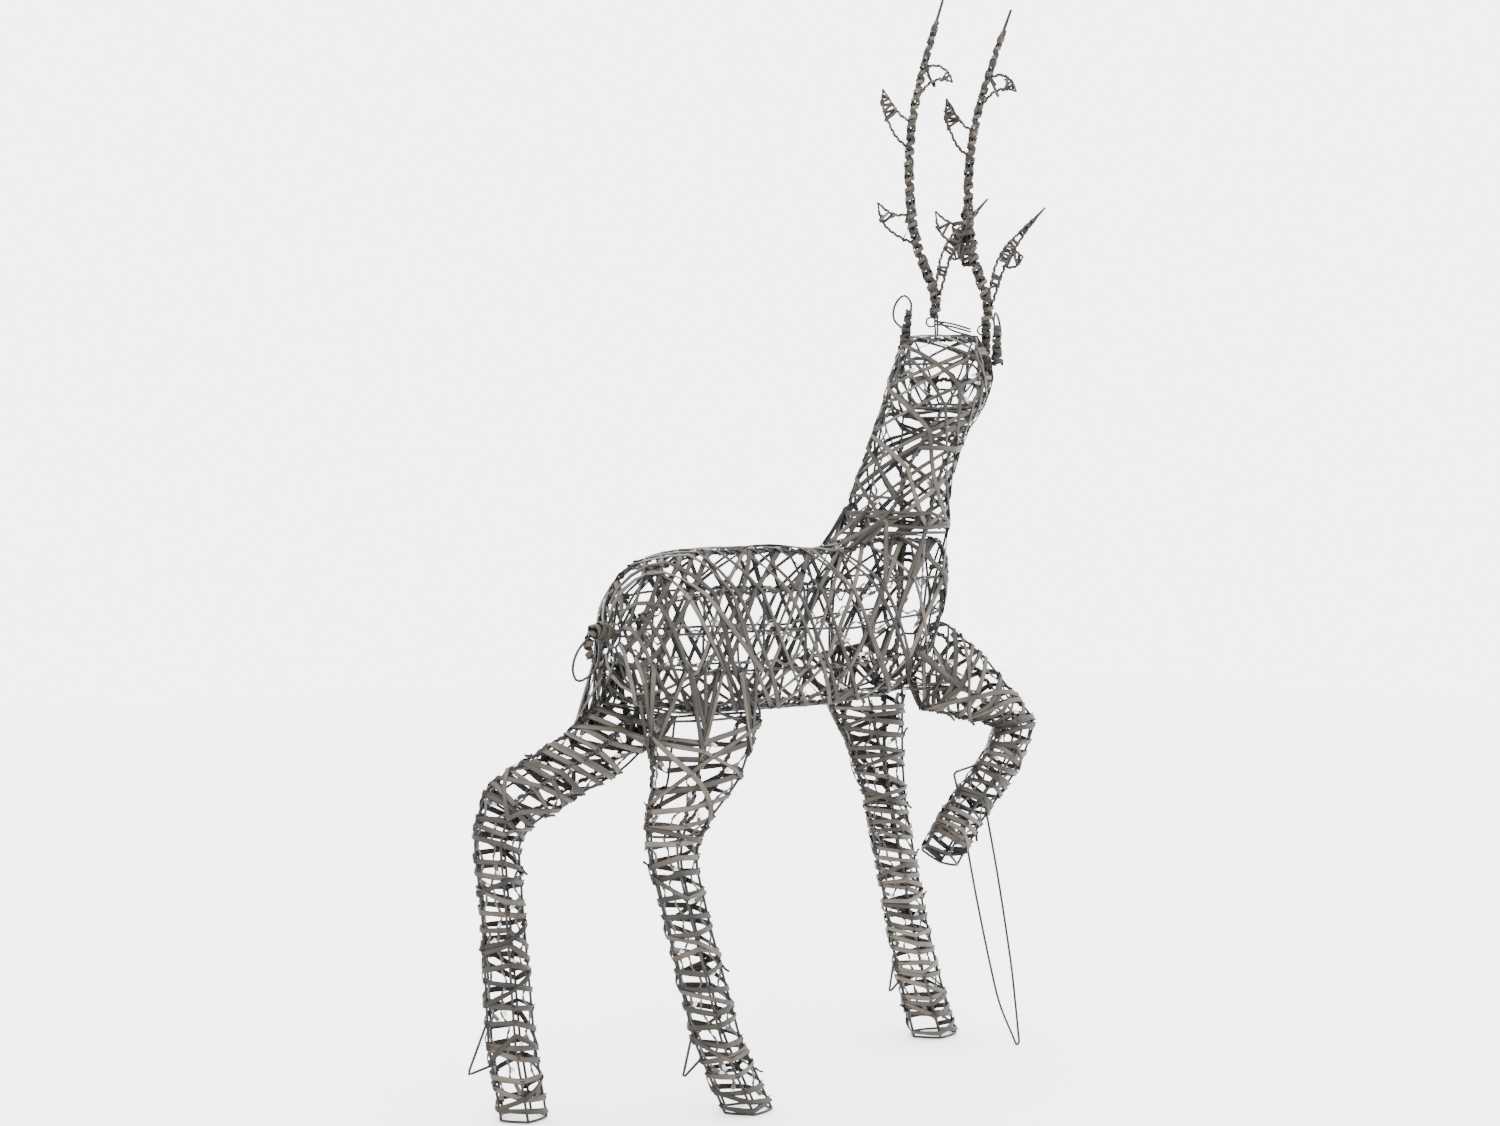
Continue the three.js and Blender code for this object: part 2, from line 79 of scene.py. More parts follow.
class Cage:
    """A body of long wires, from sections.

    A section is x, y, z, half length, half width, tilt, turn and whether it is hooped.
    """

    def __init__(self, sections, columns, squareness=2.0):
        self.columns = columns
        self.squareness = squareness
        rows = []
        for x, y, z, long, wide, tilt, turn, _ in sections:
            tilt, turn = math.radians(tilt), math.radians(turn)
            ahead = (math.cos(turn) * math.cos(tilt), math.sin(turn) * math.cos(tilt), math.sin(tilt))
            side = (-math.sin(turn), math.cos(turn), 0)
            rows.append((x * MM, y * MM, z * MM, long * MM, wide * MM, *ahead, *side))
        rows = np.array(rows)
        rows[:, :3] += SET_OUT
        fine = np.linspace(0, len(rows) - 1, SECTION_STEPS * (len(rows) - 1) + 1)
        self.table = np.stack([np.interp(fine, range(len(rows)), column) for column in rows.T], axis=1)
        self.distance = np.arange(len(fine), dtype=float)
        wires = np.stack([self.skin(self.distance, np.full(len(fine), float(j))) for j in range(columns)])
        travel = np.linalg.norm(np.diff(wires, axis=1), axis=2).mean(axis=0)
        reach = np.concatenate([[0.0], np.cumsum(travel)])
        self.hoops = [reach[SECTION_STEPS * i] for i, section in enumerate(sections) if section[-1]]
        self.length = reach[-1]
        self.distance = np.linspace(0, self.length, int(self.length / SKIN_STEP) + 1)
        even = np.stack([np.interp(self.distance, reach, column) for column in self.table.T], axis=1)
        span = int(2 * BEND_SPREAD / SKIN_STEP)
        ends = [2 * even[:1] - even[span:0:-1], even, 2 * even[-1:] - even[-2:-span - 2:-1]]
        weights = np.hanning(2 * span + 3)[1:-1]
        padded = np.concatenate(ends)
        smooth = [np.convolve(column, weights / weights.sum(), "valid") for column in padded.T]
        self.table = np.stack(smooth, axis=1)
        self.facing = 1.0
        point, out = self.place(np.array([self.length / 2]), np.array([0.0]))
        self.facing = np.sign(np.dot(out[0], point[0] - self.middle(self.length / 2)))

    def middle(self, distance):
        return np.array([np.interp(distance, self.distance, self.table[:, k]) for k in range(3)])

    def skin(self, distance, column):
        """Points on the skin, which hangs partly straight from one long wire to the next."""
        row = np.stack([np.interp(distance, self.distance, values) for values in self.table.T], axis=-1)
        centre, long, wide, ahead, side = np.split(row, [3, 4, 5, 8], axis=-1)
        first = np.floor(column)
        share = (column - first)[..., None]
        power = self.squareness
        ahead_by, side_by = 0.0, 0.0
        for wire, weight in ((first, 1 - share), (first + 1, share)):
            angle = (wire[..., None] + 0.5) * 2 * np.pi / self.columns
            cosine, sine = np.cos(angle), np.sin(angle)
            ahead_by = ahead_by + weight * long * np.sign(cosine) * np.abs(cosine) ** (2 / power)
            side_by = side_by + weight * wide * np.sign(sine) * np.abs(sine) ** (2 / power)
        rim = (np.abs(ahead_by / long) ** power + np.abs(side_by / wide) ** power) ** (-1 / power)
        return centre + (ahead_by * ahead + side_by * side) * (1 + (rim - 1) * (1 - TAUTNESS))

    def place(self, distance, column, lift=0.0):
        """Points a little off the skin, and the way out of the cage at each."""
        nudge = 0.003
        along = self.skin(distance + nudge, column) - self.skin(distance - nudge, column)
        across = self.skin(distance, column + 0.25) - self.skin(distance, column - 0.25)
        out = np.cross(across, along) * self.facing
        out /= np.linalg.norm(out, axis=-1, keepdims=True)
        lift = np.broadcast_to(lift, distance.shape)[..., None]
        return self.skin(distance, column) + out * lift, out


def lay_out(name, runs):
    """An object with an edge for each step of each run; its points hold the way out, shade and girth."""
    mesh = bpy.data.meshes.new(name)
    points = np.concatenate([run["points"] for run in runs])
    edges, start = [], 0
    for run in runs:
        count = len(run["points"])
        edges += [(start + i, start + i + 1) for i in range(count - 1)]
        if run.get("closed"):
            edges.append((start + count - 1, start))
        start += count
    mesh.from_pydata(points.tolist(), edges, [])
    out = mesh.attributes.new("out", "FLOAT_VECTOR", "POINT")
    out.data.foreach_set("vector", np.concatenate([run["out"] for run in runs]).ravel())
    for key, usual in (("tone", 0.5), ("girth", 1.0)):
        values = np.concatenate([np.broadcast_to(run.get(key, usual), len(run["points"])) for run in runs])
        mesh.attributes.new(key, "FLOAT", "POINT").data.foreach_set("value", values)
    piece = bpy.data.objects.new(name, mesh)
    scene.collection.objects.link(piece)
    return piece


def new_recipe(name, sizes):
    """An empty geometry node tree with named sizes and a material, and its two end nodes."""
    tree = bpy.data.node_groups.new(name, "GeometryNodeTree")
    tree.interface.new_socket("Geometry", in_out="INPUT", socket_type="NodeSocketGeometry")
    for size, value in sizes.items():
        tree.interface.new_socket(size, in_out="INPUT", socket_type="NodeSocketFloat").default_value = value
    tree.interface.new_socket("Material", in_out="INPUT", socket_type="NodeSocketMaterial")
    tree.interface.new_socket("Geometry", in_out="OUTPUT", socket_type="NodeSocketGeometry")
    return tree, tree.nodes.new("NodeGroupInput"), tree.nodes.new("NodeGroupOutput")


def chain(tree, source, *steps):
    """Links a geometry through nodes of the given kinds and returns the nodes."""
    made = []
    for kind in steps:
        node = tree.nodes.new(kind)
        tree.links.new(source, node.inputs[0])
        source = node.outputs[0]
        made.append(node)
    return made


def fill(node, values):
    """Gives inputs of a node their values."""
    for key, value in values.items():
        node.inputs[key].default_value = value


def link(tree, source, output, target, place):
    """Links an output of one node to an input of another."""
    tree.links.new(source.outputs[output], target.inputs[place])


def read(tree, name, kind="FLOAT"):
    node = tree.nodes.new("GeometryNodeInputNamedAttribute")
    node.data_type = kind
    node.inputs["Name"].default_value = name
    return node.outputs[0]


def apply_recipe(piece, tree, material, **sizes):
    """Runs the tree on the piece once, with its sizes set by their identifiers, and keeps the plain mesh."""
    recipe = piece.modifiers.new(tree.name, "NODES")
    recipe.node_group = tree
    for item in tree.interface.items_tree:
        if item.in_out == "INPUT" and item.name in sizes:
            recipe[item.identifier] = sizes[item.name]
        if item.in_out == "INPUT" and item.name == "Material":
            recipe[item.identifier] = material
    evaluated = piece.evaluated_get(bpy.context.evaluated_depsgraph_get())
    finished = bpy.data.meshes.new_from_object(evaluated)
    piece.modifiers.clear()
    piece.data = finished
    return piece


bar, bar_in, bar_out = new_recipe("round wire", {"Radius": WIRE_RADIUS})
_, swept, _, painted = chain(
    bar, bar_in.outputs["Geometry"],
    "GeometryNodeMeshToCurve", "GeometryNodeCurveToMesh",
    "GeometryNodeSetShadeSmooth", "GeometryNodeSetMaterial")
ring = bar.nodes.new("GeometryNodeCurvePrimitiveCircle")
ring.inputs["Resolution"].default_value = 8
link(bar, bar_in, "Radius", ring, "Radius")
link(bar, ring, 0, swept, "Profile Curve")
swept.inputs["Fill Caps"].default_value = True
link(bar, bar_in, "Material", painted, "Material")
chain(bar, painted.outputs[0], "GeometryNodeRealizeInstances")
bar.links.new(bar.nodes[-1].outputs[0], bar_out.inputs[0])


def new_material(name, colour, roughness, metallic=0.0):
    material = bpy.data.materials.new(name)
    material.use_nodes = True
    shader = material.node_tree.nodes["Principled BSDF"]
    fill(shader, {"Base Color": (*colour, 1), "Roughness": roughness, "Metallic": metallic})
    return material, material.node_tree, shader


# Dulling of the zinc, which all the wires share: cloudy grey patches about two centimetres long.
dulling = bpy.data.node_groups.new("dulling", "ShaderNodeTree")
for socket in ("Bright", "Dull"):
    dulling.interface.new_socket(socket, in_out="INPUT", socket_type="NodeSocketColor")
dulling.interface.new_socket("Patch Scale", in_out="INPUT", socket_type="NodeSocketFloat")
dulling.interface.new_socket("Color", in_out="OUTPUT", socket_type="NodeSocketColor")
dulling.interface.new_socket("Roughness", in_out="OUTPUT", socket_type="NodeSocketFloat")
dull_in, dull_out = dulling.nodes.new("NodeGroupInput"), dulling.nodes.new("NodeGroupOutput")
where = dulling.nodes.new("ShaderNodeTexCoord")
cloud = dulling.nodes.new("ShaderNodeTexNoise")
cloud.inputs["Detail"].default_value = 4
link(dulling, where, "Object", cloud, "Vector")
link(dulling, dull_in, "Patch Scale", cloud, "Scale")
tint = dulling.nodes.new("ShaderNodeMix")
tint.data_type = "RGBA"
link(dulling, cloud, 0, tint, "Factor")
link(dulling, dull_in, "Bright", tint, 6)
link(dulling, dull_in, "Dull", tint, 7)
link(dulling, tint, 2, dull_out, "Color")
rough = dulling.nodes.new("ShaderNodeMapRange")
fill(rough, {"To Min": 0.28, "To Max": 0.6})
link(dulling, cloud, 0, rough, "Value")
link(dulling, rough, 0, dull_out, "Roughness")


def wire_material(name, bright, dull):
    material, tree, shader = new_material(name, bright, 0.4, 0.85)
    group = tree.nodes.new("ShaderNodeGroup")
    group.node_tree = dulling
    fill(group, {"Bright": (*bright, 1), "Dull": (*dull, 1), "Patch Scale": 55})
    link(tree, group, "Color", shader, "Base Color")
    link(tree, group, "Roughness", shader, "Roughness")
    return material


STEEL = wire_material("galvanised wire", (0.035, 0.035, 0.036), (0.005, 0.005, 0.0052))


def bend_wires(name, cage, between=(), extra=()):
    """The welded cage: every long wire and every hoop, with any wires between them and any extra ones."""
    runs = []
    distance = np.linspace(0, cage.length, int(cage.length / WIRE_STEP) + 2)
    for j in [*range(cage.columns), *between]:
        point, out = cage.place(distance, np.full(len(distance), float(j)), -WIRE_RADIUS)
        runs.append({"points": point, "out": out})
    for hoop in cage.hoops:
        column = np.linspace(0, cage.columns, 6 * cage.columns, endpoint=False)
        point, out = cage.place(np.full(len(column), hoop), column, -WIRE_RADIUS)
        runs.append({"points": point, "out": out, "closed": True})
    piece = lay_out(name, runs + list(extra))
    return apply_recipe(piece, bar, STEEL, Radius=WIRE_RADIUS)


torso = Cage([
    (-152, 0, 590, 15, 14, 82, 0, True),
    (-144, 0, 590, 58, 48, 82, 0, False),
    (-122, 0, 592, 86, 68, 82, 0, True),
    (-50, 0, 592, 104, 71, 88, 0, False),
    (100, 0, 593, 106, 71, 90, 0, True),
    (185, 0, 591, 103, 71, 90, 0, False),
    (262, 0, 602, 110, 71, 88, 0, True),
    (350, 0, 609, 108, 66, 72, 0, True),
    (360, 0, 612, 40, 26, 72, 0, True),
], columns=8, squareness=2.5)
torso_wires = bend_wires("torso_wires", torso, between=(1.5, 5.5))
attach(torso_wires, "root")
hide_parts("torso_frame")


# Torso winding. Flat split rattan, up to 7 mm wide and about 1 mm thick, is pulled taut from wire to wire,
# steeply up and down the flanks in both directions, and takes a turn round a wire here and there.
STRIP_WIDTH = 0.0071
STRIP_THICK = 0.0012
FIRST_LAYER = 0.0008
LAYER = 0.0011
END_GAP = 0.006
TURN_END_GAP = 0.0095
BEND_STEPS = 4
SHADE_RUN = 9
draw = np.random.default_rng(8)

flat, flat_in, flat_out = new_recipe("flat strip", {"Width": STRIP_WIDTH, "Thickness": STRIP_THICK})
(path,) = chain(flat, flat_in.outputs["Geometry"], "GeometryNodeMeshToCurve")
upright = flat.nodes.new("GeometryNodeSetCurveNormal")
upright.mode = "FREE"
link(flat, path, 0, upright, "Curve")
flat.links.new(read(flat, "out", "FLOAT_VECTOR"), upright.inputs["Normal"])
length = flat.nodes.new("GeometryNodeSplineParameter")
(along,) = chain(flat, upright.outputs[0], "GeometryNodeStoreNamedAttribute")
along.inputs["Name"].default_value = "along"
link(flat, length, "Length", along, "Value")
outline = flat.nodes.new("GeometryNodeCurvePrimitiveQuadrilateral")
link(flat, flat_in, "Thickness", outline, "Width")
link(flat, flat_in, "Width", outline, "Height")
(eased,) = chain(flat, outline.outputs[0], "GeometryNodeFilletCurve")
eased.inputs["Radius"].default_value = 0.0004
place = flat.nodes.new("GeometryNodeInputPosition")
apart = flat.nodes.new("ShaderNodeSeparateXYZ")
link(flat, place, 0, apart, 0)
(across,) = chain(flat, eased.outputs[0], "GeometryNodeStoreNamedAttribute")
across.inputs["Name"].default_value = "across"
link(flat, apart, "Y", across, "Value")
# Which face of the strip a point is on, inner or outer; the rattan paints shade on the inner face.
(sided,) = chain(flat, across.outputs[0], "GeometryNodeStoreNamedAttribute")
sided.inputs["Name"].default_value = "side"
link(flat, apart, "X", sided, "Value")
swept, painted = chain(flat, along.outputs[0], "GeometryNodeCurveToMesh", "GeometryNodeSetMaterial")
link(flat, sided, 0, swept, "Profile Curve")
flat.links.new(read(flat, "girth"), swept.inputs["Scale"])
swept.inputs["Fill Caps"].default_value = True
link(flat, flat_in, "Material", painted, "Material")
chain(flat, painted.outputs[0], "GeometryNodeRealizeInstances")
flat.links.new(flat.nodes[-1].outputs[0], flat_out.inputs[0])

# The turn that a strip takes round a wire: a short open coil, which lies along the wire.
COIL = 0.008
turns, turns_in, turns_out = new_recipe(
    "turn round a wire", {"Radius": 0.0029, "Width": 0.005, "Thickness": 0.001})
coil = turns.nodes.new("GeometryNodeCurveSpiral")
fill(coil, {"Resolution": 9, "Rotations": 1.4, "Height": COIL})
link(turns, turns_in, "Radius", coil, "Start Radius")
link(turns, turns_in, "Radius", coil, "End Radius")
outline = turns.nodes.new("GeometryNodeCurvePrimitiveQuadrilateral")
link(turns, turns_in, "Width", outline, "Width")
link(turns, turns_in, "Thickness", outline, "Height")
(swept,) = chain(turns, coil.outputs[0], "GeometryNodeCurveToMesh")
link(turns, outline, 0, swept, "Profile Curve")
swept.inputs["Fill Caps"].default_value = True
(lying,) = chain(turns, turns_in.outputs["Geometry"], "GeometryNodeInstanceOnPoints")
link(turns, swept, 0, lying, "Instance")
aim = turns.nodes.new("FunctionNodeAxesToRotation")
aim.primary_axis, aim.secondary_axis = "Z", "X"
turns.links.new(read(turns, "lie", "FLOAT_VECTOR"), aim.inputs[0])
turns.links.new(read(turns, "out", "FLOAT_VECTOR"), aim.inputs[1])
link(turns, aim, 0, lying, "Rotation")
_, painted = chain(turns, lying.outputs[0], "GeometryNodeRealizeInstances", "GeometryNodeSetMaterial")
link(turns, turns_in, "Material", painted, "Material")
link(turns, painted, 0, turns_out, 0)

# Split rattan: grey-brown, with fine lengthwise fibres. Its tone varies between strips and along most.
# Each strip is darker towards its long edges, and its inner face carries painted shade.
fibre = bpy.data.node_groups.new("fibre", "ShaderNodeTree")
for socket in ("Along Scale", "Across Scale"):
    fibre.interface.new_socket(socket, in_out="INPUT", socket_type="NodeSocketFloat")
for socket in ("Fibre", "Stain", "Edge"):
    fibre.interface.new_socket(socket, in_out="OUTPUT", socket_type="NodeSocketFloat")
fibre_in, fibre_out = fibre.nodes.new("NodeGroupInput"), fibre.nodes.new("NodeGroupOutput")
combined = fibre.nodes.new("ShaderNodeCombineXYZ")
for axis, (name, scale) in enumerate((("along", "Along Scale"), ("across", "Across Scale"), ("tone", None))):
    value = fibre.nodes.new("ShaderNodeAttribute")
    value.attribute_name = name
    times = fibre.nodes.new("ShaderNodeMath")
    times.operation = "MULTIPLY"
    times.inputs[1].default_value = 70
    link(fibre, value, "Fac", times, 0)
    if scale:
        link(fibre, fibre_in, scale, times, 1)
    link(fibre, times, 0, combined, axis)
streaks = fibre.nodes.new("ShaderNodeTexNoise")
fill(streaks, {"Scale": 1, "Detail": 3})
link(fibre, combined, 0, streaks, "Vector")
link(fibre, streaks, 0, fibre_out, "Fibre")
where = fibre.nodes.new("ShaderNodeTexCoord")
blotch = fibre.nodes.new("ShaderNodeTexNoise")
fill(blotch, {"Scale": 18, "Detail": 3})
link(fibre, where, "Object", blotch, "Vector")
link(fibre, blotch, 0, fibre_out, "Stain")
# Darker towards the two long edges of each strip, down to 0.3 of its colour at the very edge.
beside = fibre.nodes.new("ShaderNodeAttribute")
beside.attribute_name = "across"
apart = fibre.nodes.new("ShaderNodeMath")
apart.operation = "ABSOLUTE"
link(fibre, beside, "Fac", apart, 0)
edge_darkening = fibre.nodes.new("ShaderNodeMapRange")
fill(edge_darkening, {"From Min": 0.0022, "From Max": 0.0036, "To Min": 1.0, "To Max": 0.3})
link(fibre, apart, 0, edge_darkening, "Value")
link(fibre, edge_darkening, 0, fibre_out, "Edge")


def rattan_material(name, dark, middle, light):
    material, tree, shader = new_material(name, middle, 0.5)
    shader.inputs["Specular IOR Level"].default_value = 0.2
    group = tree.nodes.new("ShaderNodeGroup")
    group.node_tree = fibre
    fill(group, {"Along Scale": 45, "Across Scale": 1400})
    tone = tree.nodes.new("ShaderNodeAttribute")
    tone.attribute_name = "tone"
    mixed = tree.nodes.new("ShaderNodeMath")
    mixed.operation = "MULTIPLY_ADD"
    mixed.inputs[1].default_value = 0.7
    link(tree, tone, "Fac", mixed, 0)
    stained = tree.nodes.new("ShaderNodeMath")
    stained.operation = "MULTIPLY_ADD"
    fill(stained, {1: 0.75, 2: -0.25})
    link(tree, group, "Stain", stained, 0)
    link(tree, stained, 0, mixed, 2)
    ramp = tree.nodes.new("ShaderNodeValToRGB")
    ramp.color_ramp.elements[0].color = (*dark, 1)
    ramp.color_ramp.elements[0].position = 0.1
    ramp.color_ramp.elements[1].color = (*light, 1)
    ramp.color_ramp.elements[1].position = 0.95
    ramp.color_ramp.elements.new(0.5).color = (*middle, 1)
    link(tree, mixed, 0, ramp, "Fac")
    streaked = tree.nodes.new("ShaderNodeMix")
    streaked.data_type = "RGBA"
    streaked.blend_type = "MULTIPLY"
    streaked.inputs["Factor"].default_value = 0.55
    shade = tree.nodes.new("ShaderNodeMapRange")
    fill(shade, {"From Min": 0.3, "From Max": 0.62, "To Min": 0.55, "To Max": 1.15})
    link(tree, group, "Fibre", shade, "Value")
    link(tree, ramp, "Color", streaked, 6)
    link(tree, shade, 0, streaked, 7)
    # Painted shade: each strip's inner face, turned into the cage, is darkened to 0.35 of its colour.
    side = tree.nodes.new("ShaderNodeAttribute")
    side.attribute_name = "side"
    painted_inner_shade = tree.nodes.new("ShaderNodeMapRange")
    fill(painted_inner_shade, {"From Min": -0.0003, "From Max": 0.0003, "To Min": 0.35, "To Max": 1.0})
    link(tree, side, "Fac", painted_inner_shade, "Value")
    painted_shade_mix = tree.nodes.new("ShaderNodeMix")
    painted_shade_mix.data_type = "RGBA"
    painted_shade_mix.blend_type = "MULTIPLY"
    painted_shade_mix.inputs["Factor"].default_value = 1
    # The painted shade times the darkening towards the strip's edges, multiplied into the colour.
    painted_shade_and_edge = tree.nodes.new("ShaderNodeMath")
    painted_shade_and_edge.operation = "MULTIPLY"
    link(tree, painted_inner_shade, 0, painted_shade_and_edge, 0)
    link(tree, group, "Edge", painted_shade_and_edge, 1)
    link(tree, streaked, 2, painted_shade_mix, 6)
    link(tree, painted_shade_and_edge, 0, painted_shade_mix, 7)
    link(tree, painted_shade_mix, 2, shader, "Base Color")
    relief = tree.nodes.new("ShaderNodeBump")
    fill(relief, {"Strength": 0.5, "Distance": 0.0004})
    link(tree, group, "Fibre", relief, "Height")
    link(tree, relief, 0, shader, "Normal")
    return material


RATTAN = rattan_material(
    "split rattan", (0.0018, 0.0013, 0.001), (0.0215, 0.0168, 0.0128), (0.088, 0.075, 0.062))


def lie_of(path):
    """The way a path runs at each of its points."""
    lie = np.gradient(path, axis=0)
    return lie / np.linalg.norm(lie, axis=1, keepdims=True)


def wind(cage, start, end, per_turn, hand, first, sway=0.003, lift=FIRST_LAYER, twist=0.3):
    """One strip round and round a cage from start to end, bending where it crosses the long wires."""
    count = max(2, round((end - start) / per_turn * cage.columns))
    crossing = np.linspace(start, end, count + 1) + draw.normal(0, sway, count + 1)
    crossing = np.clip(crossing, END_GAP, cage.length - END_GAP)
    column = first + hand * np.arange(count + 1)
    fine = np.linspace(0, count, BEND_STEPS * count + 1)
    distance = np.interp(fine, range(count + 1), crossing)
    raised = np.interp(fine, range(count + 1), lift + draw.uniform(0, 0.0006, count + 1))
    points, out = cage.place(distance, np.interp(fine, range(count + 1), column), raised)
    lean = np.interp(fine, np.arange(2 * count + 1) / 2, draw.normal(0, twist, 2 * count + 1))[:, None]
    out = out + np.cross(lie_of(points), out) * lean
    out /= np.linalg.norm(out, axis=1, keepdims=True)
    lengths = np.arange(0, count + SHADE_RUN, SHADE_RUN)
    tone = np.interp(fine, lengths, draw.uniform(0.1, 1, len(lengths)))
    return {"points": points, "out": out, "tone": tone, "girth": draw.uniform(0.74, 1.0),
            "crossing": crossing, "column": column}


def crossings(cage, runs, share):
    """Some of the places where strips cross long wires, as points with the wire's lie and the way out."""
    distance = np.concatenate([run["crossing"] for run in runs if "crossing" in run])
    column = np.concatenate([run["column"] for run in runs if "crossing" in run]).astype(float)
    kept = draw.uniform(size=len(distance)) < share
    kept &= (distance > END_GAP) & (distance < cage.length - TURN_END_GAP)
    distance, column = distance[kept], column[kept]
    centre, out = cage.place(distance, column, -WIRE_RADIUS)
    ahead, _ = cage.place(distance + 0.002, column, -WIRE_RADIUS)
    lie = (ahead - centre) / np.linalg.norm(ahead - centre, axis=1, keepdims=True)
    return centre - lie * COIL / 2, lie, out


def wind_round(path, flat_way, half_width, half_depth, per_turn, hand, tone, start=0.0, end=1.0, girth=1.0):
    """A strip wound round a path: half_width is its reach across the flat way, half_depth square to it."""
    reach = np.concatenate([[0], np.cumsum(np.linalg.norm(np.diff(path, axis=0), axis=1))])
    low, high = start * reach[-1], end * reach[-1]
    count = max(6, int((high - low) / per_turn * 9))
    at = np.linspace(low, high, count)
    angle = hand * 2 * np.pi * (at - low) / per_turn + draw.uniform(0, 6)
    angle += np.interp(at, np.linspace(low, high, 12), draw.normal(0, 0.5, 12))
    centre = np.stack([np.interp(at, reach, path[:, k]) for k in range(3)], axis=1)
    lie = np.stack([np.interp(at, reach, values) for values in lie_of(path).T], axis=1)
    across = np.cross(flat_way, lie)
    wide = np.interp(at / reach[-1], np.linspace(0, 1, len(half_width)), half_width)[:, None] * MM
    deep = np.interp(at / reach[-1], np.linspace(0, 1, len(half_depth)), half_depth)[:, None] * MM
    cosine, sine = np.cos(angle)[:, None], np.sin(angle)[:, None]
    points = centre + across * wide * cosine + flat_way * deep * sine
    out = across * cosine * deep + flat_way * sine * wide
    out = out / np.linalg.norm(out, axis=1, keepdims=True)
    return {"points": points, "out": out, "tone": tone, "girth": girth}


def join_pieces(name, pieces):
    """Several finished pieces made into one."""
    with bpy.context.temp_override(active_object=pieces[0], selected_editable_objects=pieces):
        bpy.ops.object.join()
    pieces[0].name = name
    return pieces[0]


def weave(name, strips, knots=None, width=STRIP_WIDTH, thickness=STRIP_THICK):
    """The strips as one piece of rattan, with their turns round the wires."""
    piece = lay_out(name, strips)
    apply_recipe(piece, flat, RATTAN, Width=width, Thickness=thickness)
    if knots is not None:
        centre, lie, out = knots
        spots = lay_out(name + "_turns", [{"points": centre, "out": out, "tone": 0.35}])
        lies = spots.data.attributes.new("lie", "FLOAT_VECTOR", "POINT")
        lies.data.foreach_set("vector", lie.ravel())
        apply_recipe(spots, turns, RATTAN)
        piece = join_pieces(name, [piece, spots])
    return piece


def wrap_hoop(cage, hoop, start, end, per_turn=0.012):
    """A strip wound round a hoop, from one share of the way round it to another."""
    column = np.linspace(start * cage.columns, end * cage.columns, 60)
    path, _ = cage.place(np.full(60, hoop), column, -WIRE_RADIUS)
    normal = cage.middle(hoop + 0.01) - cage.middle(hoop - 0.01)
    normal /= np.linalg.norm(normal)
    return wind_round(path, normal, (2.5, 3.3, 2.6, 3.2), (2.5, 3, 2.5, 3.1), per_turn, 1,
                      draw.uniform(0, 0.5), girth=0.8)


def wrap_wire(cage, column, start, end, per_turn=0.021):
    """A strip wound openly along a long wire of a cage."""
    distance = np.arange(start, end, 0.005)
    path, out = cage.place(distance, np.full(len(distance), float(column)), -WIRE_RADIUS)
    return wind_round(path, out[len(out) // 2], (3.6, 2.6, 3.4, 2.5), (3.2, 2.5, 3, 2.5), per_turn, 1,
                      draw.uniform(0, 0.7), girth=0.8)


strips = []
for hand, lift in ((1, FIRST_LAYER), (-1, FIRST_LAYER + LAYER)):
    for start, firsts in ((0.01, range(8)), (0.037, (0, 1, 3, 5, 6))):
        for k in firsts:
            strips.append(wind(torso, start, torso.length - 0.02, 0.42, hand, k, 0.006, lift))
for start, span, first, hand in (
        (0.06, 0.16, 7, -1), (0.11, 0.12, 6, -1), (0.09, 0.14, 0, 1), (0.3, 0.16, 3, -1)):
    strips.append(wind(torso, start, start + span, 0.62, hand, first, 0.008, FIRST_LAYER + 2 * LAYER))
knots = crossings(torso, strips, 0.3)
for hoop, start, end in ((1, 0.42, 0.95), (1, 0.05, 0.3), (3, 0.45, 0.92), (4, 0.5, 0.98)):
    strips.append(wrap_hoop(torso, torso.hoops[hoop], start, end))
for column, start, end in (
        (7, 0.05, 0.42), (0, 0.08, 0.46), (6, 0.12, 0.4), (1, 0.2, 0.45),
        (4, 0.1, 0.5), (3, 0.1, 0.48), (5, 0.3, 0.5)):
    strips.append(wrap_wire(torso, column, start, end))
torso_strips = weave("torso_strips", strips, knots)
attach(torso_strips, "root")
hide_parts("torso_wicker")


# Neck and head. One cage of six wires rises from the breast, bends to the left and closes at the muzzle. Its
# strips run slantwise both ways round it, with a few level turns where it is tied to the torso.
neck = Cage([
    (317, 0, 713, 65, 60, 0, 0, True),
    (342, 1, 792, 56, 54, -16, 14, False),
    (370, 3, 852, 56, 58, -22, 30, False),
    (410, 10, 908, 62, 70, -36, 44, True),
    (440, 30, 934, 58, 69, -62, 44, True),
    (474, 62, 940, 50, 60, -84, 44, True),
    (512, 98, 926, 38, 42, -98, 44, False),
    (546, 131.4, 912, 26.6, 28.2, -104, 44, True),
    (552, 138, 910, 12, 12, -104, 44, True),
], columns=6, squareness=4)
neck_wires = bend_wires("neck_and_head_wires", neck)
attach(neck_wires, "root")
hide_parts("neck_head_frame")
strips = []
for hand, lift in ((1, FIRST_LAYER), (-1, FIRST_LAYER + LAYER)):
    for start, firsts in ((0.006, range(6)), (0.04, (0, 2, 3, 5))):
        for k in firsts:
            strips.append(wind(neck, start, neck.length - 0.008, 0.37, hand, k, 0.006, lift))
for start, end, hand in ((0.006, 0.03, 1), (0.02, 0.006, -1), (0.008, 0.04, 1)):
    level = wind(neck, start, end, 0.016, hand, 3, 0.005, FIRST_LAYER + 2 * LAYER)
    strips.append(level | {"girth": 0.62, "tone": 0.3})
for start, span, first, hand in ((0.09, 0.13, 3, 1), (0.2, 0.11, 4, -1)):
    strips.append(wind(neck, start, start + span, 0.22, hand, first, 0.01, FIRST_LAYER + 2 * LAYER))
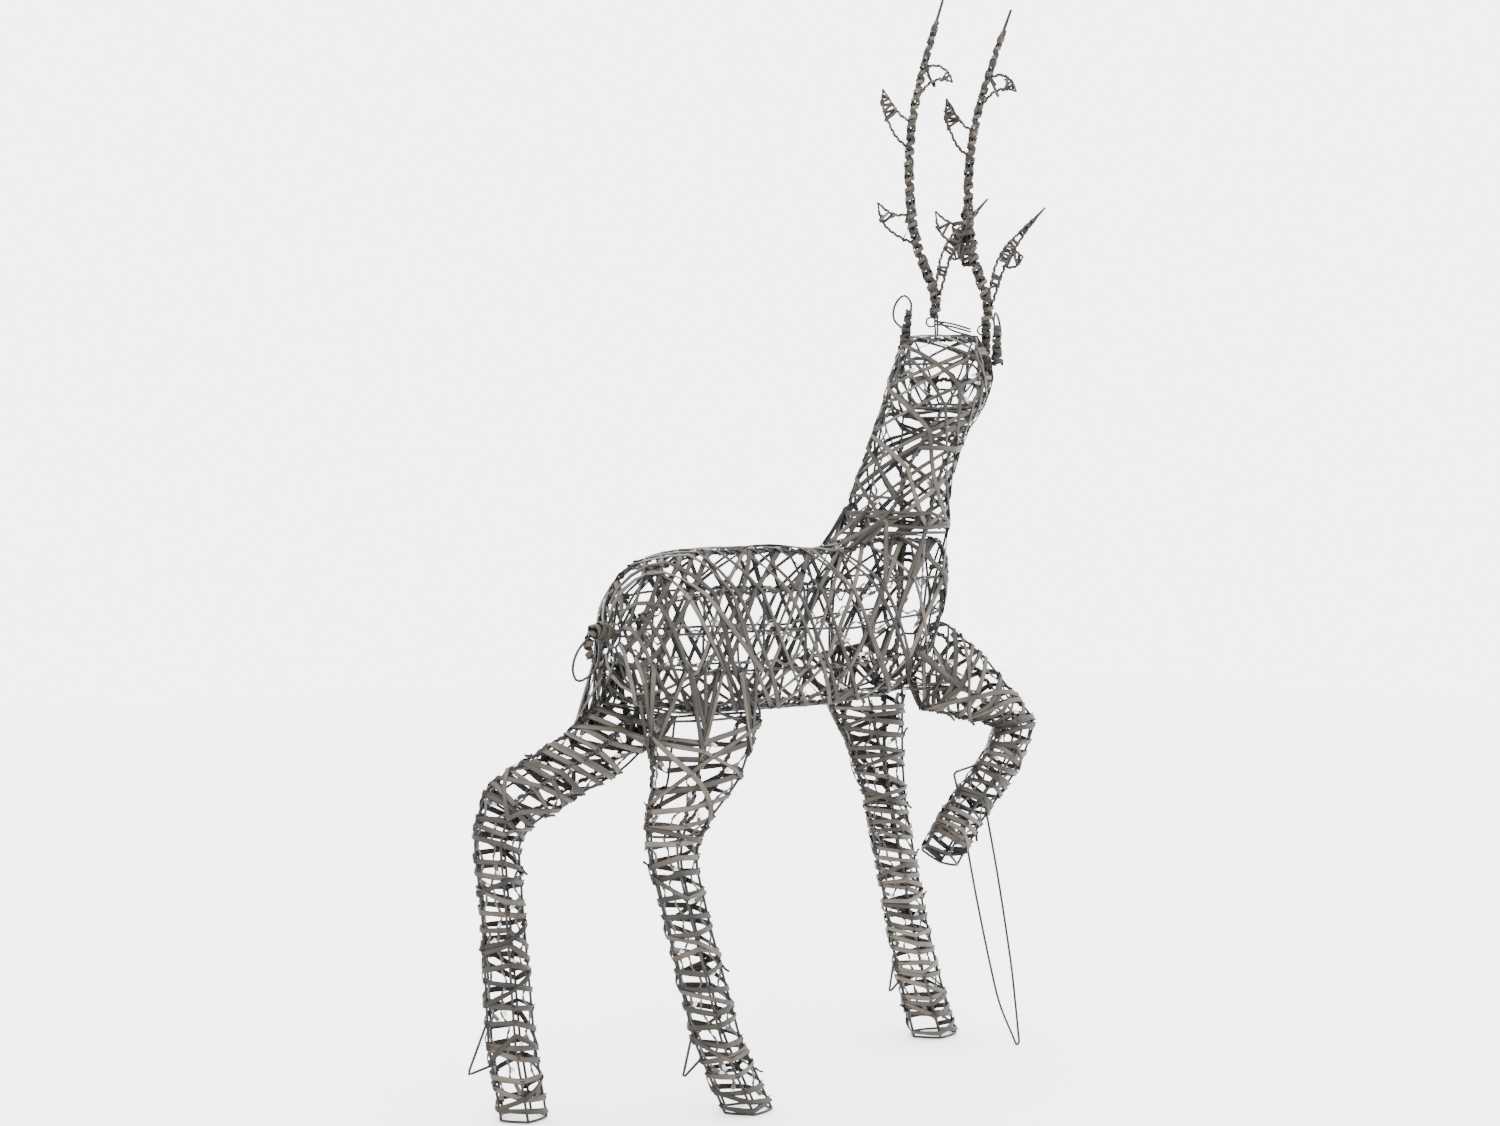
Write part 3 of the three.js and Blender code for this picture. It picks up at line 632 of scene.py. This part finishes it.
knots = crossings(neck, strips, 0.4)
for hoop, start, end in ((2, 0.35, 0.7), (4, 0, 1)):
    strips.append(wrap_hoop(neck, neck.hoops[hoop], start, end))
for column, start, end in (
        (2, 0.01, 0.2), (3, 0.01, 0.16), (5, 0.01, 0.12), (4, 0.03, 0.22), (0, 0.02, 0.17)):
    strips.append(wrap_wire(neck, column, start, end, 0.026))
neck_strips = weave("neck_and_head_strips", strips, knots)
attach(neck_strips, "root")
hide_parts("neck_head_wicker")


# Legs. Each is a tube of five wires, bent at the joints and open at the foot, where a ring joins them. Strip
# is wound close and nearly level all the way down, other strips cross it, and steep ones run down the thigh.
# A loop of bare wire stands out behind each fetlock.
LEGS = {
    "hind_leg_left": {
        "sections": [
            (-86, 38, 494, 58, 32, -14, 0, True),
            (-150, 48, 441, 50, 32, -30, 0, False),
            (-212, 56, 412, 46, 30, -33, 0, False),
            (-262, 62, 386, 43, 28, -36, 0, True),
            (-279, 66, 345, 31, 28, -8, 0, False),
            (-266, 71, 250, 29, 27, -6, 0, False),
            (-250, 77, 95, 33, 29, -5, 0, False),
            (-232, 78, 2.9, 32, 30, 0, 0, True),
        ],
        "spur": [(-285, 77, 122), (-310.2, 78, 66), (-278, 78, 72)],
        "hand": 1, "thigh": 0.2, "turns": (0.02, 0.022),
    },
    "hind_leg_right": {
        "sections": [
            (-34, -36, 486.6, 88, 33, 0, 0, True),
            (-60, -46, 408, 68, 32, 1, 0, False),
            (-104, -54, 352, 40, 29, 0, 0, True),
            (-109, -60, 318, 33, 28, -4, 0, False),
            (-88, -64, 238, 32, 28, -6, 0, False),
            (-48, -68, 98, 35, 29, -5, 0, False),
            (0, -70, 2.9, 35, 31, 0, 0, True),
        ],
        "spur": [(-84, -68, 106), (-99, -69, 56), (-70, -69, 76)],
        "hand": -1, "thigh": 0.13, "turns": (0.032, 0.0235),
    },
    "front_leg_left": {
        "sections": [
            (298, 37, 497, 68, 33, 4, 0, True),
            (328, 46, 405, 44, 31, -6, 0, False),
            (350, 52, 341, 33, 29, -8, 0, True),
            (396, 62, 187, 34, 27, -6, 0, False),
            (422, 66, 105, 37, 28, -6, 0, False),
            (460, 68, 2.9, 38, 31, 0, 0, True),
        ],
        "spur": [(382, 66, 116), (374, 67, 72), (394, 67, 86)],
        "hand": 1, "thigh": 0.12, "turns": (0.021, 0.0172),
    },
    "front_leg_right": {
        "sections": [
            (343, -44, 540, 64, 33, 71, 0, True),
            (389, -57, 512, 54, 32, 48, 0, False),
            (424, -66, 488, 40, 30, 42, 0, False),
            (481, -70, 452, 32, 28, 8, 0, True),
            (457, -70, 406, 28, 27, -25, 0, False),
            (380, -70, 338, 30, 27, -38, 0, True),
            (335, -70, 284, 29, 28, -36, 0, True),
        ],
        "spur": [(408, -70, 400), (362, -70, 392), (370, -70, 367)],
        "hand": -1, "thigh": 0.09, "turns": (0.023, 0.0165),
    },
}


def curve_through(points, step=0.006):
    """A smooth path through points given in millimetres from the setting-out point."""
    ends = [2 * np.array(points[0]) - points[1], *np.array(points), 2 * np.array(points[-1]) - points[-2]]
    ends = np.array(ends, float)
    fine = []
    for a, b, c, d in zip(ends, ends[1:], ends[2:], ends[3:]):
        t = np.linspace(0, 1, 20, endpoint=False)[:, None]
        fine.append(0.5 * (2 * b + (c - a) * t + (2 * a - 5 * b + 4 * c - d) * t ** 2
                           + (3 * b - 3 * c + d - a) * t ** 3))
    fine = np.concatenate([*fine, ends[-2:-1]]) * MM + SET_OUT
    reach = np.concatenate([[0], np.cumsum(np.linalg.norm(np.diff(fine, axis=0), axis=1))])
    even = np.linspace(0, reach[-1], max(3, round(reach[-1] / step) + 1))
    return np.stack([np.interp(even, reach, fine[:, k]) for k in range(3)], axis=1)


def bare_wire(points):
    return plain_run(curve_through(points))


def bent(points, corner=5):
    """The same points with straight sides and small round corners between them."""
    points = [np.array(point, float) for point in points]
    path = [points[0]]
    for before, here, after in zip(points, points[1:], points[2:]):
        back, onward = before - here, after - here
        back, onward = back / np.linalg.norm(back), onward / np.linalg.norm(onward)
        path += [here + back * 3 * corner, here + back * corner]
        path += [here + onward * corner, here + onward * 3 * corner]
    return [*path, points[-1]]


def plain_run(path):
    return {"points": path, "out": np.tile((0.0, 0.0, 1.0), (len(path), 1))}


def loose_ends(cage, count):
    """Cut ends of strip, which stand off the long wires."""
    ends = []
    for k in range(count):
        at, column = draw.uniform(0.05, cage.length - 0.04), draw.choice([0.0, 1.0, 2.0, 4.0])
        (start, ahead), (out, _) = cage.place(np.array([at, at + 0.004]), np.full(2, column), FIRST_LAYER)
        along = (ahead - start) / 0.004 * draw.choice([-1, 1])
        across = np.cross(out, along)
        share = np.linspace(0, 1, 5)[:, None]
        path = start + (out * 0.006 * share ** 2 + across * 0.003 * share + along * 0.012 * share)
        faced = np.tile(across + out * 0.5, (5, 1))
        low, high = np.array(cad_box[0]), np.array(cad_box[1])
        room = min((path.min(axis=0) - low).min(), (high - path.max(axis=0)).min())
        if room > 0.004:
            ends.append({"points": path, "out": faced, "tone": draw.uniform(0, 0.6), "girth": 0.5})
    return ends


for name, leg in LEGS.items():
    cage = Cage(leg["sections"], columns=5)
    leg["cage"] = cage
    wires = bend_wires(name + "_wires", cage, extra=[bare_wire(bent(leg["spur"], 3))])
    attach(wires, "root")
    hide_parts(name + "_frame")
    strips = []
    spans = ((0.006, leg["thigh"]), (leg["thigh"], cage.length - 0.007))
    for (start, end), per_turn in zip(spans, leg["turns"]):
        strips.append(wind(cage, start, end, per_turn, leg["hand"], 0, 0.0062) | {"girth": 1.0})
        crossed = wind(cage, start, end, 3 * per_turn, -leg["hand"], 1, 0.008, FIRST_LAYER + LAYER)
        strips.append(crossed | {"girth": 0.9})
    strips.append(wind(cage, 0.01, leg["thigh"] + 0.03, 0.3, -leg["hand"], 2, 0.006, FIRST_LAYER + 2 * LAYER))
    strips.append(wind(cage, 0.01, leg["thigh"] + 0.02, 0.24, leg["hand"], 4, 0.006, FIRST_LAYER + 2 * LAYER))
    knots = crossings(cage, strips, 0.6)
    for column in (0, 2, 3):
        strips.append(wrap_wire(cage, column, 0.01, leg["thigh"] * 1.2, 0.024))
    strips += loose_ends(cage, 7)
    wound = weave(name + "_strips", strips, knots)
    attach(wound, "root")
    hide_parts(name + "_wicker")


# Lashings. Where a leg or the neck meets the torso, its wires run on just inside those of the torso, and
# strip is drawn from the wires of one to the wires of the other and takes a turn round each.
def nearest(cage, column, point):
    """How far along a cage the long wire of this column comes nearest to a point."""
    wire = cage.skin(cage.distance, np.full(len(cage.distance), float(column)))
    return cage.distance[np.argmin(np.linalg.norm(wire - point, axis=1))]


def stretch(ends, lift, lean=(0, 0, 0)):
    """A strip drawn straight between two places, each a cage, a distance and a column."""
    (a, out_a), (b, out_b) = [
        cage.place(np.array([at]), np.array([float(column)]), lift) for cage, at, column in ends]
    share = np.linspace(0, 1, 9)[:, None]
    out = out_a + (out_b - out_a) * share + np.array(lean)
    out /= np.linalg.norm(out, axis=1, keepdims=True)
    return {"points": a + (b - a) * share, "out": out,
            "tone": draw.uniform(0, 0.8), "girth": draw.uniform(0.7, 0.95)}


def climbing_wire(cage, column, columns):
    """A long wire of a leg or the neck, which runs on just inside the torso across these columns of it."""
    own, _ = cage.place(np.array([0.03, 0.0]), np.full(2, float(column)), -WIRE_RADIUS)
    at = nearest(torso, columns[len(columns) // 2], own[1])
    onward, _ = torso.place(np.full(len(columns), at), np.array(columns, float), -2.6 * WIRE_RADIUS)
    path = np.concatenate([own, onward])
    return curve_through((path - SET_OUT) / MM)


NEAR = {"flank": (4.5, 5, 5.5, 6), "torso": (5, 4, 5, 6)}
FAR = {"flank": (2.5, 2, 1.5, 1), "torso": (2, 3, 2, 1)}
MEETINGS = [("hind_leg_right", NEAR, (3, 4, 2), 25), ("front_leg_right", NEAR, (3, 2, 3), 22),
            ("hind_leg_left", FAR, (1, 0, 2), 31), ("front_leg_left", FAR, (1, 0, 2), 21)]
LONGEST = 0.13
BREAST_GAP = 0.06
strips, joins, climbing = [], [], []


def lash(ends, lean=(0, 0, 0)):
    """Draws a strip between two places and marks the turns at its ends, unless they lie too far apart."""
    strip = stretch(ends, FIRST_LAYER + draw.uniform(0, 2) * LAYER, lean)
    if np.linalg.norm(strip["points"][-1] - strip["points"][0]) < LONGEST:
        strips.append(strip)
        joins.extend(ends)


for name, side, leg_wires, count in MEETINGS:
    cage = LEGS[name]["cage"]
    for k in range(count):
        own = (cage, draw.uniform(0.003, 0.055), leg_wires[k % 3])
        where, _ = cage.place(np.array([own[1]]), np.array([float(own[2])]))
        column = side["torso"][k % 4]
        at = nearest(torso, column, where[0]) + draw.uniform(-0.045, 0.045)
        at = np.clip(at, 0.03, torso.length - BREAST_GAP)
        lash([own, (torso, at, column)])
    climbing += [climbing_wire(cage, column, side["flank"]) for column in sorted(set(leg_wires))]
for own, column in ((3, 7), (3, 6), (2, 0), (2, 1), (3, 7), (4, 7), (3, 7), (2, 0), (4, 7), (4, 6), (4, 5),
                    (5, 6), (5, 5), (4, 6), (5, 5), (0, 1), (0, 2), (1, 1), (1, 2)):
    where, _ = neck.place(np.array([0.01]), np.array([float(own)]))
    back, up_neck = (-0.03, 0.02) if column in (7, 0) else (-0.02, 0.012)
    at = nearest(torso, column, where[0]) + back + draw.uniform(-0.03, 0.02)
    at = np.clip(at, 0.3, torso.length - BREAST_GAP)
    lash([(neck, up_neck + draw.uniform(-0.008, 0.01), own), (torso, at, column)])
nape = nearest(torso, 7.5, neck.place(np.array([0.01]), np.array([2.5]))[0][0])
for own, column in ((2, 0), (2.5, 7.5), (3, 7), (2, 7.5), (2.5, 7), (2, 0.2), (2.5, 0), (3, 7.5)):
    held = (neck, draw.uniform(0.012, 0.032), own)
    lash([held, (torso, nape - draw.uniform(0.012, 0.05), column)], (0, -1.1, 0))
climbing += [climbing_wire(neck, own, columns) for own, columns in
             ((4, (6, 5.5, 5, 4.5, 4)), (5, (6, 5.5, 5)), (0, (1, 1.5, 2)), (1, (1, 1.5, 2, 2.5)))]
parts = [crossings(cage, [{"crossing": np.array([at]), "column": np.array([column])}], 1)
         for cage, at, column in joins]
knots = [np.concatenate(group) for group in zip(*parts)]
lashings = weave("lashings", strips, knots)
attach(lashings, "root")
joining_wires = apply_recipe(lay_out("joining_wires", [plain_run(path) for path in climbing]), bar, STEEL)
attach(joining_wires, "root")


# Antlers. Three thin wires bound together make each beam, and each prong is a pair of wires that leave the
# beam apart and meet in a bare point, webbed with strip. A plug of bare wire with a ring in it hooks each on;
# the right one's plug is wound over too, and loose wires tie the left one.
BEAM = [(0, 0), (1, 28), (-9, 57), (-26, 105), (-33, 150), (-36, 215), (-30, 285), (-14, 355), (11, 441.7)]
PRONGS = [
    {"under": [(-24, 102), (-44, 109), (-65, 123), (-75, 137), (-80, 160)],
     "over": [(-33, 145), (-51, 142), (-66, 148), (-80, 160)], "bands": [(0.52, 0.72), (0.12, 0.2)]},
    {"under": [(-37, 236), (-53, 250), (-64, 270), (-72, 292), (-73, 318)],
     "over": [(-31, 272), (-45, 279), (-57, 293), (-65, 305), (-73, 318)], "bands": [(0.46, 0.9)]},
    {"under": [(-23, 308), (-9, 325), (4, 331), (15, 331), (25, 327)],
     "over": [(-18, 342), (-8, 349), (5, 350), (17, 342), (25, 327)], "bands": [(0.25, 0.38), (0.6, 0.88)]},
    {"under": [(1, 34), (4, 60), (9, 84), (20, 108), (36, 126), (74, 165)],
     "over": [(7, 30), (15, 60), (21, 80), (29, 96), (49, 132), (74, 165)],
     "bands": [(0.14, 0.26), (0.38, 0.6), (0.66, 0.84)]},
    {"under": [(19, 82), (36, 82), (47, 96)],
     "over": [(27, 110), (38, 102), (47, 96)], "bands": [(0.05, 0.8)]},
]
ANTLERS = {
    "antler_left": {"base": (447, 53, 1014), "lean": 0, "foot": (462, 66, 989), "web": False},
    "antler_right": {"base": (512, 16, 1004), "lean": 3, "foot": (512, 16, 942), "web": True},
}
ANTLER_TURN = math.radians(-40)
BEAM_REACH = 4.2
THIN_WIRE_RADIUS = 0.0014

for name, antler in ANTLERS.items():
    across = np.array((math.cos(ANTLER_TURN), math.sin(ANTLER_TURN), 0))
    lean = math.radians(antler["lean"])
    up = np.array((0, 0, math.cos(lean))) + across * math.sin(lean)
    flat_way = np.cross(across, up)

    def in_plane(points):
        return [np.array(antler["base"]) + across * u + up * v for u, v in points]

    beam = curve_through(in_plane(BEAM))
    sideways = np.cross(flat_way, lie_of(beam))
    taper = np.interp(np.linspace(0, 1, len(beam)), (0, 0.8, 0.93, 1), (1.2, 0.9, 0.4, 0.25))[:, None]
    wires = [plain_run(beam + (sideways * c + flat_way * s) * taper * BEAM_REACH * 0.7 * MM)
             for c, s in ((1, 0), (-0.5, 0.87), (-0.5, -0.87))]
    lumps = [7.2 - 3.8 * (k / 52) ** 2 + (1.0 if k % 2 else -0.8) for k in range(53)]
    depths = [0.85 * reach for reach in lumps]
    strips = [wind_round(beam, flat_way, lumps, depths, per_turn, hand, tone, start, 0.93)
              for per_turn, hand, tone, start in
              ((0.0125, 1, 0.75, 0.0), (0.0168, -1, 0.1, 0.01), (0.034, 1, 0.4, 0.02))]
    for prong in PRONGS:
        sides = []
        for side in ("under", "over"):
            side = curve_through(in_plane(prong[side]), 0.002)
            share = np.linspace(0, len(side) - 1, 30)
            sides.append(np.stack([np.interp(share, range(len(side)), values) for values in side.T], axis=1))
        wires += [plain_run(side) for side in sides]
        middle = (sides[0] + sides[1]) / 2
        half = np.linalg.norm(sides[0] - sides[1], axis=1) / 2 / MM + 1.8
        for side in sides:
            strips.append(wind_round(side, flat_way, (2.3, 1.9, 1.7), (2.2, 1.8, 1.6), 0.0105, 1,
                                     draw.uniform(), 0.0, 0.86, 0.7))
        for start, end in prong["bands"]:
            strips.append(wind_round(middle, flat_way, half, (2.6, 2.4, 2.2), 0.011, 1,
                                     draw.uniform(), start, end, 0.75))
            strips.append(wind_round(middle, flat_way, half, (3, 2.7, 2.3), 0.024, -1,
                                     draw.uniform(0, 0.4), start, end, 0.7))
    if antler["web"]:
        lump = curve_through(in_plane([(-30, 84), (-34, 110), (-40, 140), (-32, 160)]))
        for per_turn, hand in ((0.017, 1), (0.028, -1)):
            strips.append(wind_round(lump, flat_way, (8, 17, 16, 7), (5, 8, 8, 4), per_turn, hand,
                                     draw.uniform()))
    foot, base = np.array(antler["foot"]), np.array(antler["base"])
    ring = [base + across * (7 * math.cos(k) - 5) + up * (7 * math.sin(k) - 7)
            for k in np.linspace(0, 5.9, 12)]
    wires += [bare_wire([base + up * 20, base, foot]), bare_wire(ring)]
    wires += [bare_wire([base + up * 16 + across * 3, base + across * 4 - up * 6, foot + across * 3])]
    if antler["web"]:
        plug = curve_through([base + up * 4, base, (base + foot) / 2, foot, foot - up * 26 - across * 5])
        for per_turn, hand in ((0.009, 1), (0.016, -1)):
            strips.append(wind_round(plug, flat_way, (7, 6, 7, 5), (6, 5, 5, 4), per_turn, hand,
                                     draw.uniform(0, 0.6)))
    else:
        for low, high in ((0, 0), (-5, 6), (-9, 2)):
            wires.append(bare_wire([
                base + across * 2 - up * (4 + high),
                base + across * 24 - up * (19 + low) + flat_way * 6,
                base + across * 50 - up * (27 + low) + flat_way * 10,
            ]))
    frame_wires = apply_recipe(lay_out(name + "_wires", wires), bar, STEEL, Radius=THIN_WIRE_RADIUS)
    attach(frame_wires, "root")
    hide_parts(name)
    wound = weave(name + "_strips", strips, width=0.0056, thickness=0.001)
    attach(wound, "root")


# Ears. Each is a loop of bare steel wire that stands on the head. Strip is wound round its root and a little
# over half way up the back of the loop.
EAR_LOOP = [(0, 0, 8), (4, -16, 24), (2, -17, 44), (-2, -4, 56), (-4, 9, 44), (-1, 9, 24), (0, 4, 8)]
EAR_ROOT = [(-16, 1), (4, 3), (22, 8), (36, 11)]
EARS = {
    "ear_left": {"root": (385, 50, 984), "out": 140, "back": 265},
    "ear_right": {"root": (497, -19.5, 962), "out": -40, "back": 220},
}
for name, ear in EARS.items():
    ways = [math.radians(ear[side]) for side in ("out", "back")]
    out, back = [np.array((math.cos(way), math.sin(way), 0)) for way in ways]
    base = np.array(ear["root"])
    loop = [base + out * o + back * b + (0, 0, u) for o, b, u in EAR_LOOP]
    root = curve_through([base + (0, 0, h) + back * b for h, b in EAR_ROOT])
    runs = [bare_wire(loop), plain_run(root[: len(root) // 2])]
    wires = apply_recipe(lay_out(name + "_wires", runs), bar, STEEL)
    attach(wires, "root")
    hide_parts(name)
    wound = weave(name + "_strips", [
        wind_round(root, out, (6, 5, 5, 3), (8, 6.5, 5.5, 3.5), 0.008, 1, 0.1),
        wind_round(root, out, (6, 5.5, 5, 3), (9, 7, 6, 4), 0.013, -1, 0.35),
    ], width=0.0055, thickness=0.001)
    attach(wound, "root")


# Tail. A short stub of wire is wound thickly with strip, some of which droops from it, and an open loop of
# bare wire hangs from it.
TAIL_STUB = [(-155, 0, 591), (-162, 0, 594), (-172, 0, 597), (-184, 0, 596)]
TAIL_LOOP = [(-182, 0, 594), (-203, 0, 574), (-211, 0, 553), (-205, 0, 538),
             (-190, 0, 541), (-174, 0, 556), (-170, 0, 594)]
stub = curve_through(TAIL_STUB)
tail_wires = apply_recipe(lay_out("tail_wires", [bare_wire(TAIL_LOOP), plain_run(stub)]), bar, STEEL)
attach(tail_wires, "root")
LEFTWARD = np.array((0.0, 1.0, 0.0))
droop = curve_through([(-176, 0, 598), (-186, 0, 588), (-188, 0, 572), (-182, 0, 560)])
tail_strips = weave("tail_strips", [
    wind_round(stub, LEFTWARD, (9, 10.5, 10, 6), (9, 10.5, 10, 6), 0.0075, 1, 0.5),
    wind_round(stub, LEFTWARD, (9, 11.5, 11, 7), (9, 11.5, 11, 7), 0.013, -1, 0.35),
    wind_round(droop, LEFTWARD, (5, 6, 4), (5, 6, 4), 0.012, 1, 0.45)])
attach(tail_strips, "root")
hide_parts("tail")


# Prop. One length of bare steel wire is bent into a long narrow U. Its two ends reach up to the underside of
# the raised leg, and its round toe stands on the ground.
PROP_ARMS = [[(397, -54.5, 316), (416, -60, 219), (447, -58, 117), (467, -56, 64), (495.8, -52.7, 16)],
             [(435.5, -54.5, 352), (457, -60, 247), (486, -57, 128), (498.5, -55, 65), (507.7, -52.6, 17.6)]]
TOE_HEIGHT = 1.8
toe = [(TOE["ahead"] + TOE["bend"] * math.cos(a), TOE["left"], TOE_HEIGHT + TOE["bend"] * (1 + math.sin(a)))
       for a in np.linspace(math.pi, 2 * math.pi, 5)]
prop = [*PROP_ARMS[0], *toe, *reversed(PROP_ARMS[1])]
prop_wire = apply_recipe(lay_out("prop", [plain_run(curve_through(prop, 0.003))]), bar, STEEL)
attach(prop_wire, "root")
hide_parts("prop_wire")


# Light string. Two thin insulated wires, twisted together, are laced up inside the cages, with a small clear
# bulb in a dark holder at every hand's breadth. Each length of it ends in a moulded joint, 14 mm long.
CABLE_RADIUS = 0.0009
CABLE_STEP = 0.0045
CABLE_START = 0.012
CABLE_WAVE = 0.075
TWIST = 0.022
BULB_SPACING = 0.085
HOLDER = [(0.0014, -0.001), (0.0024, 0), (0.0026, 0.003), (0.0026, 0.009), (0.002, 0.0095)]
BULB = [(0.0018, 0.0095), (0.0023, 0.0105), (0.0024, 0.014), (0.0018, 0.0168), (0.0007, 0.018)]
JOINT = [(0.0013, -0.007), (0.0027, -0.006), (0.0027, 0.006), (0.0013, 0.007)]


def twisted(path):
    """The two wires of a cable that runs along a path."""
    reach = np.concatenate([[0], np.cumsum(np.linalg.norm(np.diff(path, axis=0), axis=1))])
    lie = lie_of(path)
    across = np.cross(lie, (0.31, 0.47, 0.83))
    across /= np.linalg.norm(across, axis=1, keepdims=True)
    other = np.cross(lie, across)
    angle = (2 * np.pi * reach / TWIST)[:, None]
    swing = (across * np.cos(angle) + other * np.sin(angle)) * CABLE_RADIUS * 1.05
    return [plain_run(path + swing), plain_run(path - swing)]


CABLE, _, _ = new_material("cable skin", (0.05, 0.048, 0.043), 0.42)
pairs, aimed, joint_spots = [], [], []


def run_cable(path):
    """Lays a length of the cable and marks the joints at its two ends."""
    pairs.extend(twisted(path))
    joint_spots.extend([(path[0], path[1] - path[0]), (path[-1], path[-1] - path[-2])])


# Along the cages the cable follows the long wires, a little inside them.
LACED = [(torso, (5, 5.5, 6, 4, 1.5, 2)), (neck, (4, 5, 1))]
LACED += [(leg["cage"], (2, 4, 0.5)) for leg in LEGS.values()]
for cage, wires in LACED:
    for j in wires:
        distance = np.arange(CABLE_START, cage.length - 0.03, CABLE_STEP)
        swing = 2 * np.pi * distance / CABLE_WAVE + j
        column = j + 0.09 * np.sin(swing) + 0.05 * np.sin(2.7 * swing)
        path, out = cage.place(distance, column, -0.0065 + 0.0035 * np.cos(1.6 * swing))
        run_cable(path)
        for k, at in enumerate(np.arange(0.03 + 0.01 * j, distance[-1] - 0.02, BULB_SPACING)):
            i = int((at - CABLE_START) / CABLE_STEP)
            aimed.append((path[i], -out[i] + lie_of(path)[i] * 1.3 * math.cos(2.4 * k)))

# Shorter lengths cross from the legs and the neck into the torso, and from one flank of it to the other.
crossing_over = [((leg["cage"], CABLE_START, 2), 1.5 if leg["hand"] > 0 else 5.5) for leg in LEGS.values()]
for (cage, at, column), onto in [*crossing_over, ((neck, 0.02, 4), 5.5), ((torso, 0.3, 5.5), 1.5)]:
    (a,), _ = cage.place(np.array([at]), np.array([float(column)]), -0.006)
    landing = min(nearest(torso, onto, a), torso.length - 0.1)
    (b,), _ = torso.place(np.array([landing]), np.array([onto]), -0.006)
    path = [(point - SET_OUT) / MM for point in (a, (a + b) / 2 - (0, 0, 0.009), b)]
    run_cable(curve_through(path, CABLE_STEP))
cable = apply_recipe(lay_out("light_cable", pairs), bar, CABLE, Radius=CABLE_RADIUS)
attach(cable, "root")
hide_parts("light_string")


def turned(profile, spots, sides=10):
    """Small round parts: the profile of radius and height is turned about a line from each spot."""
    points, faces = [], []
    for spot, way in spots:
        lie = Vector(way).normalized()
        across = lie.orthogonal().normalized()
        other = lie.cross(across)
        base = len(points)
        for radius, height in profile:
            for k in range(sides):
                angle = 2 * math.pi * k / sides
                ring = (across * math.cos(angle) + other * math.sin(angle)) * radius
                points.append(Vector(spot) + lie * height + ring)
        for i in range(len(profile) - 1):
            for k in range(sides):
                a, b = base + i * sides + k, base + i * sides + (k + 1) % sides
                faces.append((a, b, b + sides, a + sides))
        faces.append([base + k for k in reversed(range(sides))])
        faces.append([base + (len(profile) - 1) * sides + k for k in range(sides)])
    return points, faces


def round_parts(name, profile, spots, material):
    mesh = bpy.data.meshes.new(name)
    points, faces = turned(profile, spots)
    mesh.from_pydata(points, [], faces)
    mesh.polygons.foreach_set("use_smooth", [True] * len(faces))
    mesh.materials.append(material)
    piece = bpy.data.objects.new(name, mesh)
    scene.collection.objects.link(piece)
    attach(piece, "root")
    return piece


holders = round_parts("bulb_holders", HOLDER, aimed, CABLE)
joints = round_parts("moulded_joints", JOINT, joint_spots, CABLE)
GLASS, _, glass_shader = new_material("clear bulb", (0.93, 0.92, 0.88), 0.12)
glass_shader.inputs["Transmission Weight"].default_value = 0.6
bulbs = round_parts("bulbs", BULB, aimed, GLASS)


# Floor, light and camera. A plain pale floor lies under a white world. Two large soft lamps stand on the
# figure's right, one towards its rear and one towards its front. The camera stands at its right rear, at the
# height and distance from which it is seen.
floor_mesh = bpy.data.meshes.new("floor")
floor_mesh.from_pydata([(-6, -6, 0), (6, -6, 0), (6, 6, 0), (-6, 6, 0)], [], [(0, 1, 2, 3)])
floor = bpy.data.objects.new("floor", floor_mesh)
scene.collection.objects.link(floor)
PAPER, _, _ = new_material("pale paper", (0.93, 0.93, 0.93), 0.9)
floor_mesh.materials.append(PAPER)

scene.world = bpy.data.worlds.new("studio")
scene.world.use_nodes = True
scene.world.node_tree.nodes["Background"].inputs["Color"].default_value = (1, 1, 1, 1)
scene.world.node_tree.nodes["Background"].inputs["Strength"].default_value = 5.5
for name, spot, size, power in (("key", (-2.2, -2.4, 2.6), 1.6, 60), ("fill", (2.6, -1.6, 1.8), 2.0, 25)):
    lamp = bpy.data.lights.new(name, "AREA")
    lamp.size, lamp.energy = size, power
    light = bpy.data.objects.new(name, lamp)
    light.location = spot
    light.rotation_euler = (Vector((0, 0, 0.7)) - Vector(spot)).to_track_quat("-Z", "Y").to_euler()
    scene.collection.objects.link(light)

CAMERA_PLACE = (-1.73444, -2.14471, 0.73)
CAMERA_TURN = math.radians(40)
PICTURE_WIDTH = 1500
FOCAL_PIXELS = 2200
DROP_PIXELS = 43
CAMERA_DROP = math.atan(DROP_PIXELS / FOCAL_PIXELS)
SENSOR_WIDTH = 36
eye = bpy.data.cameras.new("camera")
eye.sensor_width = SENSOR_WIDTH
eye.lens = SENSOR_WIDTH * FOCAL_PIXELS / PICTURE_WIDTH
camera = bpy.data.objects.new("camera", eye)
camera.location = Vector(CAMERA_PLACE) + Vector(SET_OUT)
camera.rotation_euler = (math.pi / 2 - CAMERA_DROP, 0, -CAMERA_TURN)
scene.collection.objects.link(camera)
scene.camera = camera

low, high = cad_box
